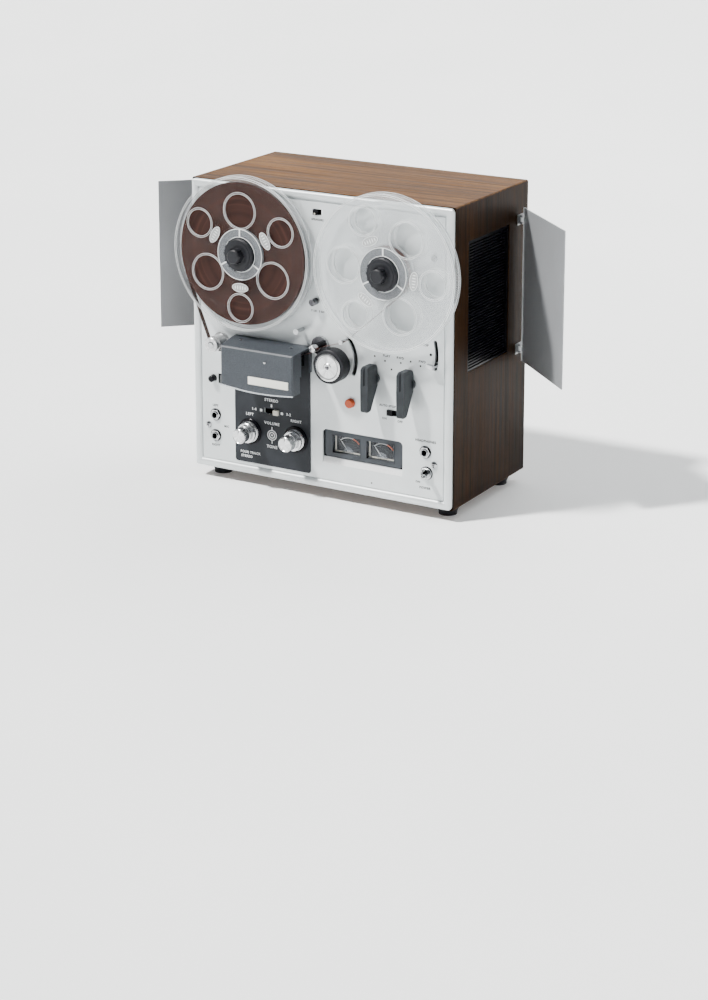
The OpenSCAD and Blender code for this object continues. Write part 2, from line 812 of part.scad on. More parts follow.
// Lower ring of a volume knob pair, on a sleeve
module outer_knob(x) {
    deck() turned([x, volume_z], [
        [2.06, -14], [11, -14], [11.8, -13.2], [11.8, -10.4], [11.2, -10], [11.2, -9.4],
        [12.2, -9], [12.2, -6], [13.6, -5.8], [13.6, -4.2], [3, -4.2], [3, 14], [2.06, 14]
    ]);
}

module left_outer_knob() {
    color("silver") outer_knob(volume_xs[0]);
}

module right_outer_knob() {
    color("silver") outer_knob(volume_xs[1]);
}

// Front knob of a volume knob pair, on the inner shaft
module inner_knob(x) {
    deck() turned([x, volume_z], [[0, -29], [8, -29], [8.6, -28.4], [8.6, -18.6], [9.4, -18], [9.4, -14.4],
        [2, -14.4], [2, 20], [0, 20]]);
}

module left_inner_knob() {
    color("silver") inner_knob(volume_xs[0]);
}

module right_inner_knob() {
    color("silver") inner_knob(volume_xs[1]);
}

// Bat lever of the mains switch on its cross pin
module power_toggle() {
    color("silver") deck() translate([toggle[0], 2, toggle[1]]) rotate([0, 0, 12]) {
        rotate([90, 0, 0]) translate([0, 0, -6]) cylinder(r = 1.6, h = 12);
        rotate([90, 0, 0]) translate([0, 0, 5]) cylinder(r1 = 1.6, r2 = 3, h = 15);
        translate([0, -20, 0]) sphere(r = 3.2);
    }
}

// Three quarter-inch jacks, the body of the mains switch and the two dual volume controls
module panel_fittings() {
    color("silver") deck() {
        for (p = [mics[0], mics[1], phones]) difference() {
            union() {
                rod(p, -5.4, 0, 4.5);
                rod(p, -5, -3, 5.8);
                rod(p, 0, 24, 7);
            }
            rod(p, -8, 22, 3.25);
        }
        difference() {
            union() {
                rod(toggle, -5.6, -3, 7);
                rod(toggle, -3, 0, 4);
                rod(toggle, 0, 24, 6.5);
            }
            rod(toggle, -8, 20, 3.6);
        }
        for (x = volume_xs) difference() {
            union() {
                rod([x, volume_z], -2.9, 9, 5);
                rod([x, volume_z], 9, 24, 12);
            }
            rod([x, volume_z], -4, 16, 3.06);
            rod([x, volume_z], 15, 22, 2.06);
        }
    }
}

// Bezel with two windows, set back in the panel's opening
module meter_bezel() {
    color("slategray") deck() difference() {
        union() {
            plate(-1.4, 4, rounded(6.5, 105.8, 39.4, 70.6, 3));
            block(2, 109, 2, 4, 33, 74);
        }
        block(16.2, 51.8, -2, 5, 44.5, 65);
        block(60.3, 95.3, -2, 5, 44.5, 65);
    }
}

// Two moving-coil movements with their dials
module meter_movements() {
    color("black") deck() for (x = meter_xs) {
        block(x - 19, x + 19, 5, 6, 42, 68);
        rod([x, 54], 6, 26, 14);
        rod([x, needle_z], 4.2, 5, 1.2);
    }
}

module needle(x) {
    deck() translate([x, 0, needle_z]) rotate([0, -needle_rest, 0]) difference() {
        union() {
            rod([0, 0], 4.3, 4.8, 2.4);
            block(-0.35, 0.35, 4.3, 4.7, 0, 16);
        }
        rod([0, 0], 4, 5, 1.25);
    }
}

module left_needle() {
    color("orange") needle(meter_xs[0]);
}

module right_needle() {
    color("orange") needle(meter_xs[1]);
}

// ---- Electrics ----

module power_transformer() {
    color("dimgray") deck() {
        block(50, 114, 84, 128, board_t + 2, board_t + 56);
        block(62, 102, 76, 136, board_t + 10, board_t + 48);
        block(44, 120, 90, 122, board_t, board_t + 2);
    }
}

// Printed board with capacitors, coils and transistor cans, on four posts
module amplifier_board() {
    color("peru") deck() {
        block(-150, 24, 44, 160, 28, 29.6);
        for (x = [-144, 18], y = [50, 154]) translate([x, y, board_t]) cylinder(r = 3, h = 16);
        for (x = [-130:28:10], y = [66, 140]) translate([x, y, 29.6]) cylinder(r = 7, h = 26);
        for (x = [-136:17:0]) translate([x, 104, 29.6]) cylinder(r = 4, h = 8);
        for (x = [-120:24:0]) block(x, x + 12, 86, 94, 29.6, 38);
    }
}

cabinet_shell();
front_panel();
control_plate();
rear_cover();
rear_connectors();
rubber_feet();
side_grilles();
speakers();
left_door();
right_door();
door_hinges();
chassis_plate();
head_cover();
head_block();
supply_turntable();
takeup_turntable();
supply_reel_flange();
supply_reel_hub();
takeup_reel_flange();
takeup_reel_hub();
supply_tape_pack();
supply_reel_cap();
takeup_reel_cap();
capstan_shaft();
capstan_bearing();
flywheel();
motor_housing();
motor_rotor();
drive_belt();
pinch_arm();
pinch_roller_core();
pinch_roller_tyre();
guide_roller();
shutoff_arm();
stop_lever();
play_lever();
wind_lever();
record_button();
reset_button();
counter_frame();
units_wheel();
tens_wheel();
hundreds_wheel();
track_selector();
shutoff_switch();
deck_switch();
speed_knob();
left_outer_knob();
right_outer_knob();
left_inner_knob();
right_inner_knob();
power_toggle();
meter_bezel();
meter_movements();
left_needle();
right_needle();
tape_path();
panel_fittings();
power_transformer();
amplifier_board();
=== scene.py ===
"""Looks of the reel to reel tape deck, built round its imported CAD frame.

Lengths are millimetres in the deck frame: x from the middle, y backwards from the front of the
wooden case and z up from its underside. at() turns them into metres of the shared frame.
"""
import math

import bmesh
import bpy
from mathutils import Matrix, Vector


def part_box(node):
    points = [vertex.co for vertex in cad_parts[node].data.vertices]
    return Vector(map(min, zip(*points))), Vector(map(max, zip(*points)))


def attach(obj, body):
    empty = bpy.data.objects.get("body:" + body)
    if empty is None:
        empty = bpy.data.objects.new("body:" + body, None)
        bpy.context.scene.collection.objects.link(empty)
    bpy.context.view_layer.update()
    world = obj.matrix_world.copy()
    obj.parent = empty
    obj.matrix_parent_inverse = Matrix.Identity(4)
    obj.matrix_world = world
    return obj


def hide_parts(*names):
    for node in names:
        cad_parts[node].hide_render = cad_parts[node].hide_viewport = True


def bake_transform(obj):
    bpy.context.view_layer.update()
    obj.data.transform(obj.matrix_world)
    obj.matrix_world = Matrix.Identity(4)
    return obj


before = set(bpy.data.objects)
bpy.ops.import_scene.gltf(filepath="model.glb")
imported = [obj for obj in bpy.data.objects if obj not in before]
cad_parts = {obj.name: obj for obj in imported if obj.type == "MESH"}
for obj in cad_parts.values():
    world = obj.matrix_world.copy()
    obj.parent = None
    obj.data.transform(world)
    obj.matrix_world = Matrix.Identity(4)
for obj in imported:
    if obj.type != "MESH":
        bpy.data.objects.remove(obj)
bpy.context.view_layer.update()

MM = 0.001
CASE_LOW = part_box("cabinet_shell")[0]
PANEL_Y = -3.0        # face of the front panel
PLATE_Y = -3.8        # face of the control plate
COVER_Y = -46.0       # face of the head cover


def at(x, y, z):
    """A point of the deck frame, in metres."""
    return Vector((x * MM, CASE_LOW.y + y * MM, CASE_LOW.z + z * MM))


def middle(node):
    """x and z of the middle of a CAD node, in the deck frame."""
    low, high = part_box(node)
    c = (low + high) / 2
    return c.x / MM, (c.z - CASE_LOW.z) / MM


def polar(x, z, radius, degrees):
    """The point at an angle and a distance from (x, z), seen from the front."""
    a = math.radians(degrees)
    return x + radius * math.cos(a), z + radius * math.sin(a)


SUPPLY = middle("supply_turntable")
TAKEUP = middle("takeup_turntable")
CAPSTAN = middle("capstan_shaft")
ROLLER = middle("pinch_roller_tyre")
GUIDE = middle("guide_roller")
LEFT_KNOB = middle("left_inner_knob")
RIGHT_KNOB = middle("right_inner_knob")


# ---------------------------------------------------------------- materials

class Shade:
    """A node material round one Principled shader."""

    def __init__(self, name, colour, rough, metal=0.0, **sockets):
        self.material = bpy.data.materials.new(name)
        self.material.use_nodes = True
        self.tree = self.material.node_tree
        self.shader = self.tree.nodes["Principled BSDF"]
        self.shader.inputs["Base Color"].default_value = (*colour, 1)
        self.shader.inputs["Roughness"].default_value = rough
        self.shader.inputs["Metallic"].default_value = metal
        for socket, value in sockets.items():
            self.shader.inputs[socket.replace("_", " ")].default_value = value
        self.normal = None

    def node(self, kind, inputs=None, **settings):
        made = self.tree.nodes.new("ShaderNode" + kind)
        for key, value in settings.items():
            setattr(made, key, value)
        for key, value in (inputs or {}).items():
            if isinstance(value, bpy.types.NodeSocket):
                self.tree.links.new(value, made.inputs[key])
            else:
                made.inputs[key].default_value = value
        return made

    def link(self, socket, name):
        self.tree.links.new(socket, self.shader.inputs[name])

    def place(self, scale=(1, 1, 1), offset=(0, 0, 0)):
        """Object coordinates in metres, moved and then scaled."""
        where = self.node("TexCoord").outputs["Object"]
        moved = self.node("VectorMath", {0: where, 1: offset}, operation="SUBTRACT").outputs[0]
        return self.node("VectorMath", {0: moved, 1: scale}, operation="MULTIPLY").outputs[0]

    def noise(self, scale, detail=3.0, where=None, rough=0.55):
        where = where or self.place()
        return self.node("TexNoise", {"Vector": where, "Scale": scale, "Detail": detail,
                                      "Roughness": rough}).outputs["Fac"]

    def ramp(self, value, stops):
        """Colours along a value, from (position, colour) stops."""
        made = self.node("ValToRGB", {"Fac": value})
        points = made.color_ramp.elements
        while len(points) < len(stops):
            points.new(0.5)
        for point, (position, colour) in zip(points, stops):
            point.position = position
            point.color = (*colour, 1)
        return made.outputs["Color"]

    def mix(self, factor, first, second, blend="MIX"):
        made = self.node("Mix", data_type="RGBA", blend_type=blend)
        for key, value in ((0, factor), (6, first), (7, second)):
            if isinstance(value, bpy.types.NodeSocket):
                self.tree.links.new(value, made.inputs[key])
            elif isinstance(value, tuple) and len(value) == 3:
                made.inputs[key].default_value = (*value, 1)
            else:
                made.inputs[key].default_value = value
        return made.outputs[2]

    def bump(self, height, strength, distance=0.0002):
        inputs = {"Height": height, "Strength": strength, "Distance": distance}
        if self.normal:
            inputs["Normal"] = self.normal
        self.normal = self.node("Bump", inputs).outputs["Normal"]
        self.link(self.normal, "Normal")


def span(value, low, high, shade):
    """A noise value spread from low to high."""
    return shade.node("MapRange", {"Value": value, "From Min": 0.3, "From Max": 0.7,
                                   "To Min": low, "To Max": high}).outputs["Result"]


def finish(name, dark, light, rough, metal=0.0, grain=900.0, bump=0.15, blotch=18.0, **sockets):
    """A moulded, painted or plated finish: soft blotches, fine grain and uneven gloss."""
    s = Shade(name, light, rough, metal, **sockets)
    patches = s.noise(blotch, 4.0)
    fine = s.noise(grain, 2.0)
    s.link(s.mix(span(patches, 0, 1, s), dark, light), "Base Color")
    s.link(span(fine, rough * 0.85, min(1.0, rough * 1.2), s), "Roughness")
    s.bump(fine, bump)
    return s.material


def turned(name, centre, colour, rough, rings=2600.0, bump=0.25, metal=1.0):
    """Metal turned about an axis along Y through centre: fine rings, and a radial sheen painted into the
    colour as lighter and darker sectors round the axis.
    """
    s = Shade(name, colour, rough, metal)
    c = at(centre[0], 0, centre[1])
    where = s.place((1, 0, 1), (c.x, 0, c.z))
    radius = s.node("VectorMath", {0: where}, operation="LENGTH").outputs["Value"]
    lines = s.node("TexNoise", {"W": radius, "Scale": rings, "Detail": 2.0},
                   noise_dimensions="1D").outputs["Fac"]
    parts = s.node("SeparateXYZ", {0: where}).outputs
    angle = s.node("Math", {0: parts["X"], 1: parts["Z"]}, operation="ARCTAN2").outputs[0]
    # Painted reflection: the base colour swings round the axis between a darker copy and the full
    # colour.
    painted_sheen = s.node("TexNoise", {"W": angle, "Scale": 1.6, "Detail": 2.0},
                   noise_dimensions="1D").outputs["Fac"]
    dark = tuple(c * 0.62 for c in colour)
    s.link(s.mix(span(painted_sheen, 0, 1, s), dark, colour), "Base Color")
    s.link(span(lines, rough * 0.8, rough * 1.25, s), "Roughness")
    s.bump(lines, bump, 0.00005)
    return s.material


TOP_TINT = (6.1, 7.1, 15.0)   # how much paler the veneer looks where it faces the lamps above


def walnut():
    """Oiled veneer: grain along X on the top and bottom and along Z on the sides."""
    s = Shade("walnut", (0.2, 0.1, 0.05), 0.5, Specular_IOR_Level=0.06)
    where = s.node("SeparateXYZ", {0: s.place()}).outputs
    normal = s.node("SeparateXYZ", {0: s.node("NewGeometry").outputs["Normal"]}).outputs
    flat = s.node("Math", {0: normal["Z"]}, operation="ABSOLUTE").outputs[0]
    along_x = s.node("Math", {0: where["X"], 1: flat}, operation="MULTIPLY").outputs[0]
    upright = s.node("Math", {0: 1.0, 1: flat}, operation="SUBTRACT").outputs[0]
    along = s.node("Math", {0: where["Z"], 1: upright, 2: along_x},
                   operation="MULTIPLY_ADD").outputs[0]
    side = s.node("Math", {0: where["X"], 1: upright, 2: flat},
                  operation="MULTIPLY_ADD").outputs[0]
    grain = s.node("CombineXYZ", {"X": along, "Y": where["Y"], "Z": side}).outputs[0]

    def stretched(factor_along, factor_across, scale, detail):
        v = s.node("VectorMath", {0: grain, 1: (factor_along, factor_across, 1)},
                   operation="MULTIPLY").outputs[0]
        return s.noise(scale, detail, v, 0.62)

    broad = stretched(1.1, 7.0, 4.0, 3.0)
    stripes = stretched(0.6, 30.0, 6.0, 5.0)
    lines = stretched(1.0, 70.0, 6.0, 4.0)
    pores = stretched(10.0, 260.0, 7.0, 2.0)
    tone = s.ramp(broad, [(0.3, (0.016, 0.0055, 0.0004)), (0.5, (0.025, 0.009, 0.0007)),
                          (0.7, (0.037, 0.0145, 0.0014))])
    stripe = s.ramp(stripes, [(0.36, (0.3, 0.27, 0.25)), (0.5, (0.8, 0.77, 0.74)),
                              (0.62, (1.0, 1.0, 1.0))])
    streak = s.ramp(lines, [(0.34, (0.42, 0.38, 0.36)), (0.5, (0.85, 0.83, 0.8)),
                            (0.64, (1.0, 1.0, 1.0))])
    pitted = s.ramp(pores, [(0.38, (0.4, 0.36, 0.33)), (0.47, (1.0, 1.0, 1.0))])
    coloured = s.mix(1.0, s.mix(1.0, tone, stripe, "MULTIPLY"),
                     s.mix(1.0, streak, pitted, "MULTIPLY"), "MULTIPLY")
    lifted = s.mix(flat, coloured, s.mix(1.0, coloured, TOP_TINT, "MULTIPLY"))
    s.link(lifted, "Base Color")
    s.link(span(lines, 0.42, 0.62, s), "Roughness")
    s.bump(pores, 0.35, 0.0002)
    s.bump(lines, 0.2, 0.0003)
    return s.material


def wound_tape():
    """Edge of a tape winding: thin rings, a few of them standing proud or dull."""
    s = Shade("wound_tape", (0.07, 0.026, 0.02), 0.45, 0.0, Specular_IOR_Level=0.15)
    c = at(SUPPLY[0], 0, SUPPLY[1])
    where = s.place((1, 0, 1), (c.x, 0, c.z))
    radius = s.node("VectorMath", {0: where}, operation="LENGTH").outputs["Value"]
    rings = s.node("TexNoise", {"W": radius, "Scale": 900.0, "Detail": 4.0},
                   noise_dimensions="1D").outputs["Fac"]
    bands = s.node("TexNoise", {"W": radius, "Scale": 120.0, "Detail": 2.0},
                   noise_dimensions="1D").outputs["Fac"]
    tone = s.ramp(bands, [(0.3, (0.024, 0.0075, 0.005)), (0.55, (0.034, 0.0115, 0.008)),
                          (0.7, (0.047, 0.017, 0.012))])
    fine = s.ramp(rings, [(0.35, (0.75, 0.75, 0.75)), (0.65, (1.0, 1.0, 1.0))])
    s.link(s.mix(1.0, tone, fine, "MULTIPLY"), "Base Color")
    s.link(span(rings, 0.3, 0.55, s), "Roughness")
    s.bump(rings, 0.35, 0.0001)
    return s.material


def hazy(name, colour, rough, alpha, **sockets):
    """Clear plastic as a thin bright skin that light passes, with a soft gloss on its face."""
    s = Shade(name, colour, rough, 0.0, Alpha=alpha, **sockets)
    scuffs = s.noise(150.0, 6.0)
    s.link(span(scuffs, rough * 0.6, rough * 1.8, s), "Roughness")
    dull = tuple(c * 0.93 for c in colour)
    s.link(s.mix(span(s.noise(22.0, 3.0), 0, 1, s), dull, colour), "Base Color")
    s.bump(s.noise(12.0, 2.0), 0.02, 0.0004)
    return s.material


def woven(name, colour):
    """Loudspeaker cloth: an even open weave."""
    s = Shade(name, colour, 0.9)
    threads = s.noise(1400.0, 1.0)
    dark = tuple(c * 0.3 for c in colour)
    s.link(s.mix(span(threads, 0, 1, s), dark, colour), "Base Color")
    s.bump(threads, 0.6, 0.0004)
    return s.material


def brushed_sheet(name, colour, rough):
    """Rolled sheet metal with fine upright lines."""
    s = Shade(name, colour, rough, 0.3)
    lines = s.noise(240.0, 3.0, s.place((8, 8, 0.25)))
    patches = s.noise(5.0, 3.0)
    dark = tuple(c * 0.8 for c in colour)
    s.link(s.mix(span(patches, 0, 1, s), dark, colour), "Base Color")
    s.link(span(lines, rough * 0.85, rough * 1.2, s), "Roughness")
    s.bump(lines, 0.08, 0.0001)
    return s.material


# finish(name, dark, light, roughness, metal, grain, bump, blotch): the two colours are the ends
# of its blotches, and grain and blotch are the scales of the fine and the broad noise.
WALNUT = walnut()
PANEL = finish("panel_satin", (0.6, 0.635, 0.645), (0.71, 0.745, 0.755), 0.38, 0.3, 1100, 0.14, 14)
SLATE = finish("slate_plate", (0.012, 0.014, 0.018), (0.02, 0.023, 0.0285), 0.55, 0.1, 1500, 0.25, 30,
               Specular_IOR_Level=0.3)
COVER = finish("cover_texture", (0.026, 0.031, 0.038), (0.058, 0.067, 0.08), 0.46, 0.1, 1500, 0.6, 900,
               Specular_IOR_Level=0.4)
LEVER = finish("lever_grey", (0.012, 0.015, 0.018), (0.022, 0.026, 0.031), 0.5, 0.1, 1200, 0.2, 60,
               Specular_IOR_Level=0.35)
BEZEL = finish("bezel_grey", (0.03, 0.035, 0.042), (0.044, 0.051, 0.06), 0.5, 0.0, 1500, 0.12, 60,
               Specular_IOR_Level=0.35)
CHROME = finish("chrome", (0.38, 0.39, 0.4), (0.56, 0.57, 0.58), 0.08, 1.0, 700, 0.04, 160)
STEEL = finish("plated_steel", (0.2, 0.205, 0.21), (0.33, 0.335, 0.34), 0.34, 0.9, 500, 0.12, 30)
RUBBER = finish("black_rubber", (0.006, 0.0065, 0.009), (0.013, 0.014, 0.018), 0.5, 0.0, 900, 0.3, 90,
                Specular_IOR_Level=0.3)
BLACK = finish("black_plastic", (0.0015, 0.0015, 0.003), (0.003, 0.003, 0.005), 0.22, 0.0, 800, 0.12, 60,
               Specular_IOR_Level=0.12)
# Black for sheets behind dark openings: painted shade.
PAINTED_SHADE_BLACK = finish("painted_shade_black", (0.002, 0.002, 0.003), (0.004, 0.004, 0.005), 0.9, 0.0, 800, 0.05, 60,
              Specular_IOR_Level=0.05)
ORANGE = finish("orange_plastic", (0.46, 0.05, 0.001), (0.55, 0.068, 0.002), 0.35, 0.0, 700, 0.06, 90)
IVORY = finish("ivory_plastic", (0.66, 0.63, 0.54), (0.78, 0.76, 0.68), 0.4, 0.0, 700, 0.08, 90)
WHITE = finish("white_enamel", (0.66, 0.68, 0.69), (0.76, 0.78, 0.79), 0.35, 0.0, 700, 0.05, 40)
DOOR = brushed_sheet("door_sheet", (0.4, 0.415, 0.435), 0.4)
BOARD = finish("fibre_board", (0.035, 0.028, 0.022), (0.06, 0.05, 0.04), 0.75, 0.0, 500, 0.5, 35)
SOCKETS = finish("socket_plate", (0.3, 0.31, 0.32), (0.38, 0.39, 0.4), 0.45, 0.4, 900, 0.1, 30)
LAMINATE = finish("circuit_laminate", (0.2, 0.1, 0.035), (0.28, 0.15, 0.06), 0.5, 0.0, 600, 0.2, 60)
# Dark print for words and marks, also used as painted shade in the screw slots.
DARK_PRINT_AND_SHADE = finish("dark_print_and_slot_shade", (0.008, 0.008, 0.01), (0.015, 0.015, 0.018), 0.6, 0.0, 900, 0.02, 60,
                    Specular_IOR_Level=0.2)
PRINT_LIGHT = finish("light_print", (0.72, 0.74, 0.75), (0.82, 0.84, 0.85), 0.5, 0.0, 900, 0.02, 60)
NAME_METAL = finish("nameplate_metal", (0.82, 0.81, 0.73), (0.9, 0.89, 0.82), 0.4, 0.0, 900, 0.05, 40)
DIAL = finish("dial_black", (0.012, 0.012, 0.013), (0.02, 0.02, 0.022), 0.6, 0.0, 900, 0.05, 60,
              Specular_IOR_Level=0.2)
DIAL_RED = finish("dial_red", (0.6, 0.1, 0.03), (0.7, 0.15, 0.05), 0.5, 0.0, 900, 0.02, 60)
TAPE = finish("tape", (0.055, 0.02, 0.014), (0.08, 0.032, 0.024), 0.28, 0.0, 400, 0.03, 60)
WOUND = wound_tape()
CLEAR = hazy("clear_plastic", (0.72, 0.76, 0.78), 0.12, 0.16, Specular_IOR_Level=0.8)
CLEAR_FULL = hazy("clear_plastic_on_tape", (0.4, 0.4, 0.4), 0.16, 0.012, Specular_IOR_Level=0.1)
# Greyer, denser clear plastic for the edge faces of the reels: painted shade.
CLEAR_EDGE_SHADE = hazy("clear_edge_shade", (0.5, 0.54, 0.57), 0.12, 0.55, Specular_IOR_Level=1.0)
# Near white, dense clear plastic for the reels' raised rings and beads: painted highlight.
RIM_HIGHLIGHT = hazy("clear_rim_highlight", (0.96, 0.98, 0.98), 0.12, 0.85, Specular_IOR_Level=0.9)
HAZE = hazy("milky_plastic", (0.26, 0.29, 0.33), 0.2, 0.3)
HUB_GREY = hazy("hub_grey", (0.13, 0.145, 0.165), 0.14, 0.6, Specular_IOR_Level=1.0)
GLASS = hazy("window_pane", (0.5, 0.55, 0.6), 0.05, 0.04, Specular_IOR_Level=0.4)
BADGE = hazy("moulded_badge", (0.62, 0.64, 0.64), 0.3, 0.5)
CLOTH = woven("grille_cloth", (0.04, 0.04, 0.042))
# Pale, shiny bead for the head cover's lower lip: painted highlight where the lip catches the lamp.
LIP_HIGHLIGHT = finish("cover_lip_highlight", (0.5, 0.54, 0.58), (0.66, 0.7, 0.73), 0.25, 0.4, 700, 0.05, 90)
REEL_METAL = {s: turned(f"hub_metal_{s}", c, (0.8, 0.82, 0.83), 0.3)
              for s, c in (("supply", SUPPLY), ("takeup", TAKEUP))}
ROLLER_METAL = turned("roller_metal", ROLLER, (0.86, 0.87, 0.87), 0.26)
GUIDE_METAL = turned("guide_metal", GUIDE, (0.74, 0.75, 0.76), 0.3, metal=0.7)
# A paler, glossier copy of the panel finish: painted highlight on the bevel below the meters.
PANEL_BEVEL_LIT = finish("panel_bevel_highlight", (0.8, 0.82, 0.83), (0.9, 0.91, 0.92), 0.25, 0.1, 1100, 0.04, 14)
BEARING = finish("dark_metal", (0.05, 0.05, 0.055), (0.14, 0.14, 0.15), 0.22, 1.0, 600, 0.1, 90)
CAPSTAN_METAL = turned("capstan_metal", CAPSTAN, (0.8, 0.81, 0.82), 0.12, 3000, 0.1)
KNOB_METAL = {s: turned(f"knob_metal_{s}", c, (0.87, 0.88, 0.89), 0.2, 3200)
              for s, c in (("left", LEFT_KNOB), ("right", RIGHT_KNOB))}

NODE_MATERIALS = {
    "cabinet_shell": WALNUT, "front_panel": PANEL, "control_plate": SLATE, "rear_cover": BOARD,
    "rear_connectors": SOCKETS, "rubber_feet": RUBBER, "side_grilles": BLACK, "speakers": BLACK,
    "left_door": DOOR, "right_door": DOOR, "door_hinges": STEEL, "chassis_plate": STEEL,
    "head_cover": COVER, "head_block": CHROME, "supply_turntable": REEL_METAL["supply"],
    "takeup_turntable": REEL_METAL["takeup"], "supply_reel_flange": CLEAR_FULL, "supply_reel_hub": CLEAR,
    "takeup_reel_flange": CLEAR, "takeup_reel_hub": CLEAR, "supply_tape_pack": WOUND,
    "supply_reel_cap": RUBBER, "takeup_reel_cap": RUBBER, "capstan_shaft": CAPSTAN_METAL,
    "capstan_bearing": BEARING, "flywheel": STEEL, "motor_housing": STEEL, "motor_rotor": STEEL,
    "drive_belt": RUBBER, "pinch_arm": STEEL, "pinch_roller_core": ROLLER_METAL,
    "pinch_roller_tyre": RUBBER, "guide_roller": GUIDE_METAL, "shutoff_arm": CHROME,
    "stop_lever": CHROME, "play_lever": LEVER, "wind_lever": LEVER, "record_button": ORANGE,
    "reset_button": BLACK, "counter_frame": BLACK, "units_wheel": BLACK, "tens_wheel": BLACK,
    "hundreds_wheel": BLACK, "track_selector": IVORY, "shutoff_switch": BLACK,
    "deck_switch": BLACK, "speed_knob": BEARING, "left_outer_knob": KNOB_METAL["left"],
    "right_outer_knob": KNOB_METAL["right"], "left_inner_knob": KNOB_METAL["left"],
    "right_inner_knob": KNOB_METAL["right"], "power_toggle": CHROME, "meter_bezel": BEZEL,
    "meter_movements": DIAL, "left_needle": PRINT_LIGHT, "right_needle": PRINT_LIGHT,
    "panel_fittings": CHROME, "power_transformer": STEEL, "amplifier_board": LAMINATE,
    "tape_path": TAPE,
}
SMOOTH_ANGLE = math.radians(32)


def smooth(mesh):
    """Smooth shading with creases where faces meet sharply."""
    mesh.shade_smooth()
    mesh.set_sharp_from_angle(angle=SMOOTH_ANGLE)


for node, surface in NODE_MATERIALS.items():
    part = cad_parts[node]
    part.data.materials.clear()
    part.data.materials.append(surface)


def second_material(node, surface, chosen):
    """Gives the faces that chosen() picks, by their middle in the deck frame, another material."""
    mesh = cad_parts[node].data
    mesh.materials.append(surface)
    for face in mesh.polygons:
        c = face.center
        if chosen(c.x / MM, (c.y - CASE_LOW.y) / MM, (c.z - CASE_LOW.z) / MM):
            face.material_index = len(mesh.materials) - 1


# ---------------------------------------------------------------- mesh helpers

ON_AXIS = 1e-6        # a smaller radius than this is a point on the axis
TURN_STEPS = 40
TUBE_SIDES = 10
RIDGE = 0.28          # height of the ridges of a knurl
PRINT_T = 0.025       # half the thickness of printed words


def piece(name, bm, material, body, keep_flat=False):
    """A mesh object from a bmesh in metres, riding on a body."""
    bmesh.ops.remove_doubles(bm, verts=bm.verts, dist=1e-7)
    bmesh.ops.recalc_face_normals(bm, faces=bm.faces)
    mesh = bpy.data.meshes.new(name)
    bm.to_mesh(mesh)
    bm.free()
    made = bpy.data.objects.new(name, mesh)
    bpy.context.scene.collection.objects.link(made)
    mesh.materials.append(material)
    if not keep_flat:
        smooth(mesh)
    if body:
        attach(made, body)
    return made


def around(centre, radius, y, steps):
    """Points in metres, evenly round the axis along Y through centre."""
    flat_points = [polar(*centre, radius, 360 * i / steps) for i in range(steps)]
    return [at(x, y, z) for x, z in flat_points]


def join_rings(bm, one, two, steps):
    """Faces between two rings of vertices; a ring of one vertex is a point."""
    for i in range(steps):
        a = one[i % len(one)], one[(i + 1) % len(one)]
        b = two[(i + 1) % len(two)], two[i % len(two)]
        corners = list(dict.fromkeys(a + b))
        if len(corners) > 2:
            bm.faces.new(corners)


def lathe(bm, centre, profile, steps=72, closed=True):
    """Turns a profile of (radius, y) about the axis along Y through centre."""
    rings = []
    for radius, y in profile:
        if radius < ON_AXIS:
            rings.append([bm.verts.new(at(centre[0], y, centre[1]))])
        else:
            rings.append([bm.verts.new(point) for point in around(centre, radius, y, steps)])
    for one, two in zip(rings, rings[1:]):
        join_rings(bm, one, two, steps)
    if closed:
        join_rings(bm, rings[-1], rings[0], steps)


def slab(bm, x0, x1, y0, y1, z0, z1, bevel=0.0, segments=2):
    """A block with rounded edges."""
    low, high = at(x0, y0, z0), at(x1, y1, z1)
    made = bmesh.ops.create_cube(bm, size=1.0)["verts"]
    bmesh.ops.scale(bm, vec=high - low, verts=made)
    bmesh.ops.translate(bm, vec=(low + high) / 2, verts=made)
    if bevel:
        edges = {e for v in made for e in v.link_edges}
        bmesh.ops.bevel(bm, geom=list(edges), offset=bevel * MM, segments=segments,
                        profile=0.5, affect="EDGES")


def flat(bm, outline, y0, y1):
    """A plate from an outline of (x, z) points."""
    front = [bm.verts.new(at(x, y0, z)) for x, z in outline]
    back = [bm.verts.new(at(x, y1, z)) for x, z in outline]
    bm.faces.new(front)
    bm.faces.new(list(reversed(back)))
    for i in range(len(front)):
        j = (i + 1) % len(front)
        bm.faces.new([front[i], back[i], back[j], front[j]])


def arc_band(bm, centre, r0, r1, a0, a1, y0, y1, steps=24):
    """A flat curved band between two radii and two angles."""
    outer = [polar(*centre, r1, a0 + (a1 - a0) * i / steps) for i in range(steps + 1)]
    inner = [polar(*centre, r0, a1 - (a1 - a0) * i / steps) for i in range(steps + 1)]
    flat(bm, outer + inner, y0, y1)


def disc(bm, centre, radius, y0, y1):
    """A small round plate."""
    flat(bm, [polar(*centre, radius, 360 * i / 24) for i in range(24)], y0, y1)


def tube(bm, points, radius):
    """A round tube along points in metres."""
    rings = []
    for i, p in enumerate(points):
        ahead = (points[min(i + 1, len(points) - 1)] - points[max(i - 1, 0)]).normalized()
        side = ahead.cross(Vector((0, 0, 1)))
        side = (side if side.length > 0.01 else ahead.cross(Vector((0, 1, 0)))).normalized()
        up = side.cross(ahead)
        rings.append([bm.verts.new(p + radius * MM * (side * math.cos(t) + up * math.sin(t)))
                      for t in (math.tau * k / TUBE_SIDES for k in range(TUBE_SIDES))])
    for one, two in zip(rings, rings[1:]):
        for k in range(TUBE_SIDES):
            m = (k + 1) % TUBE_SIDES
            bm.faces.new([one[k], one[m], two[m], two[k]])
    bm.faces.new(rings[0])
    bm.faces.new(list(reversed(rings[-1])))


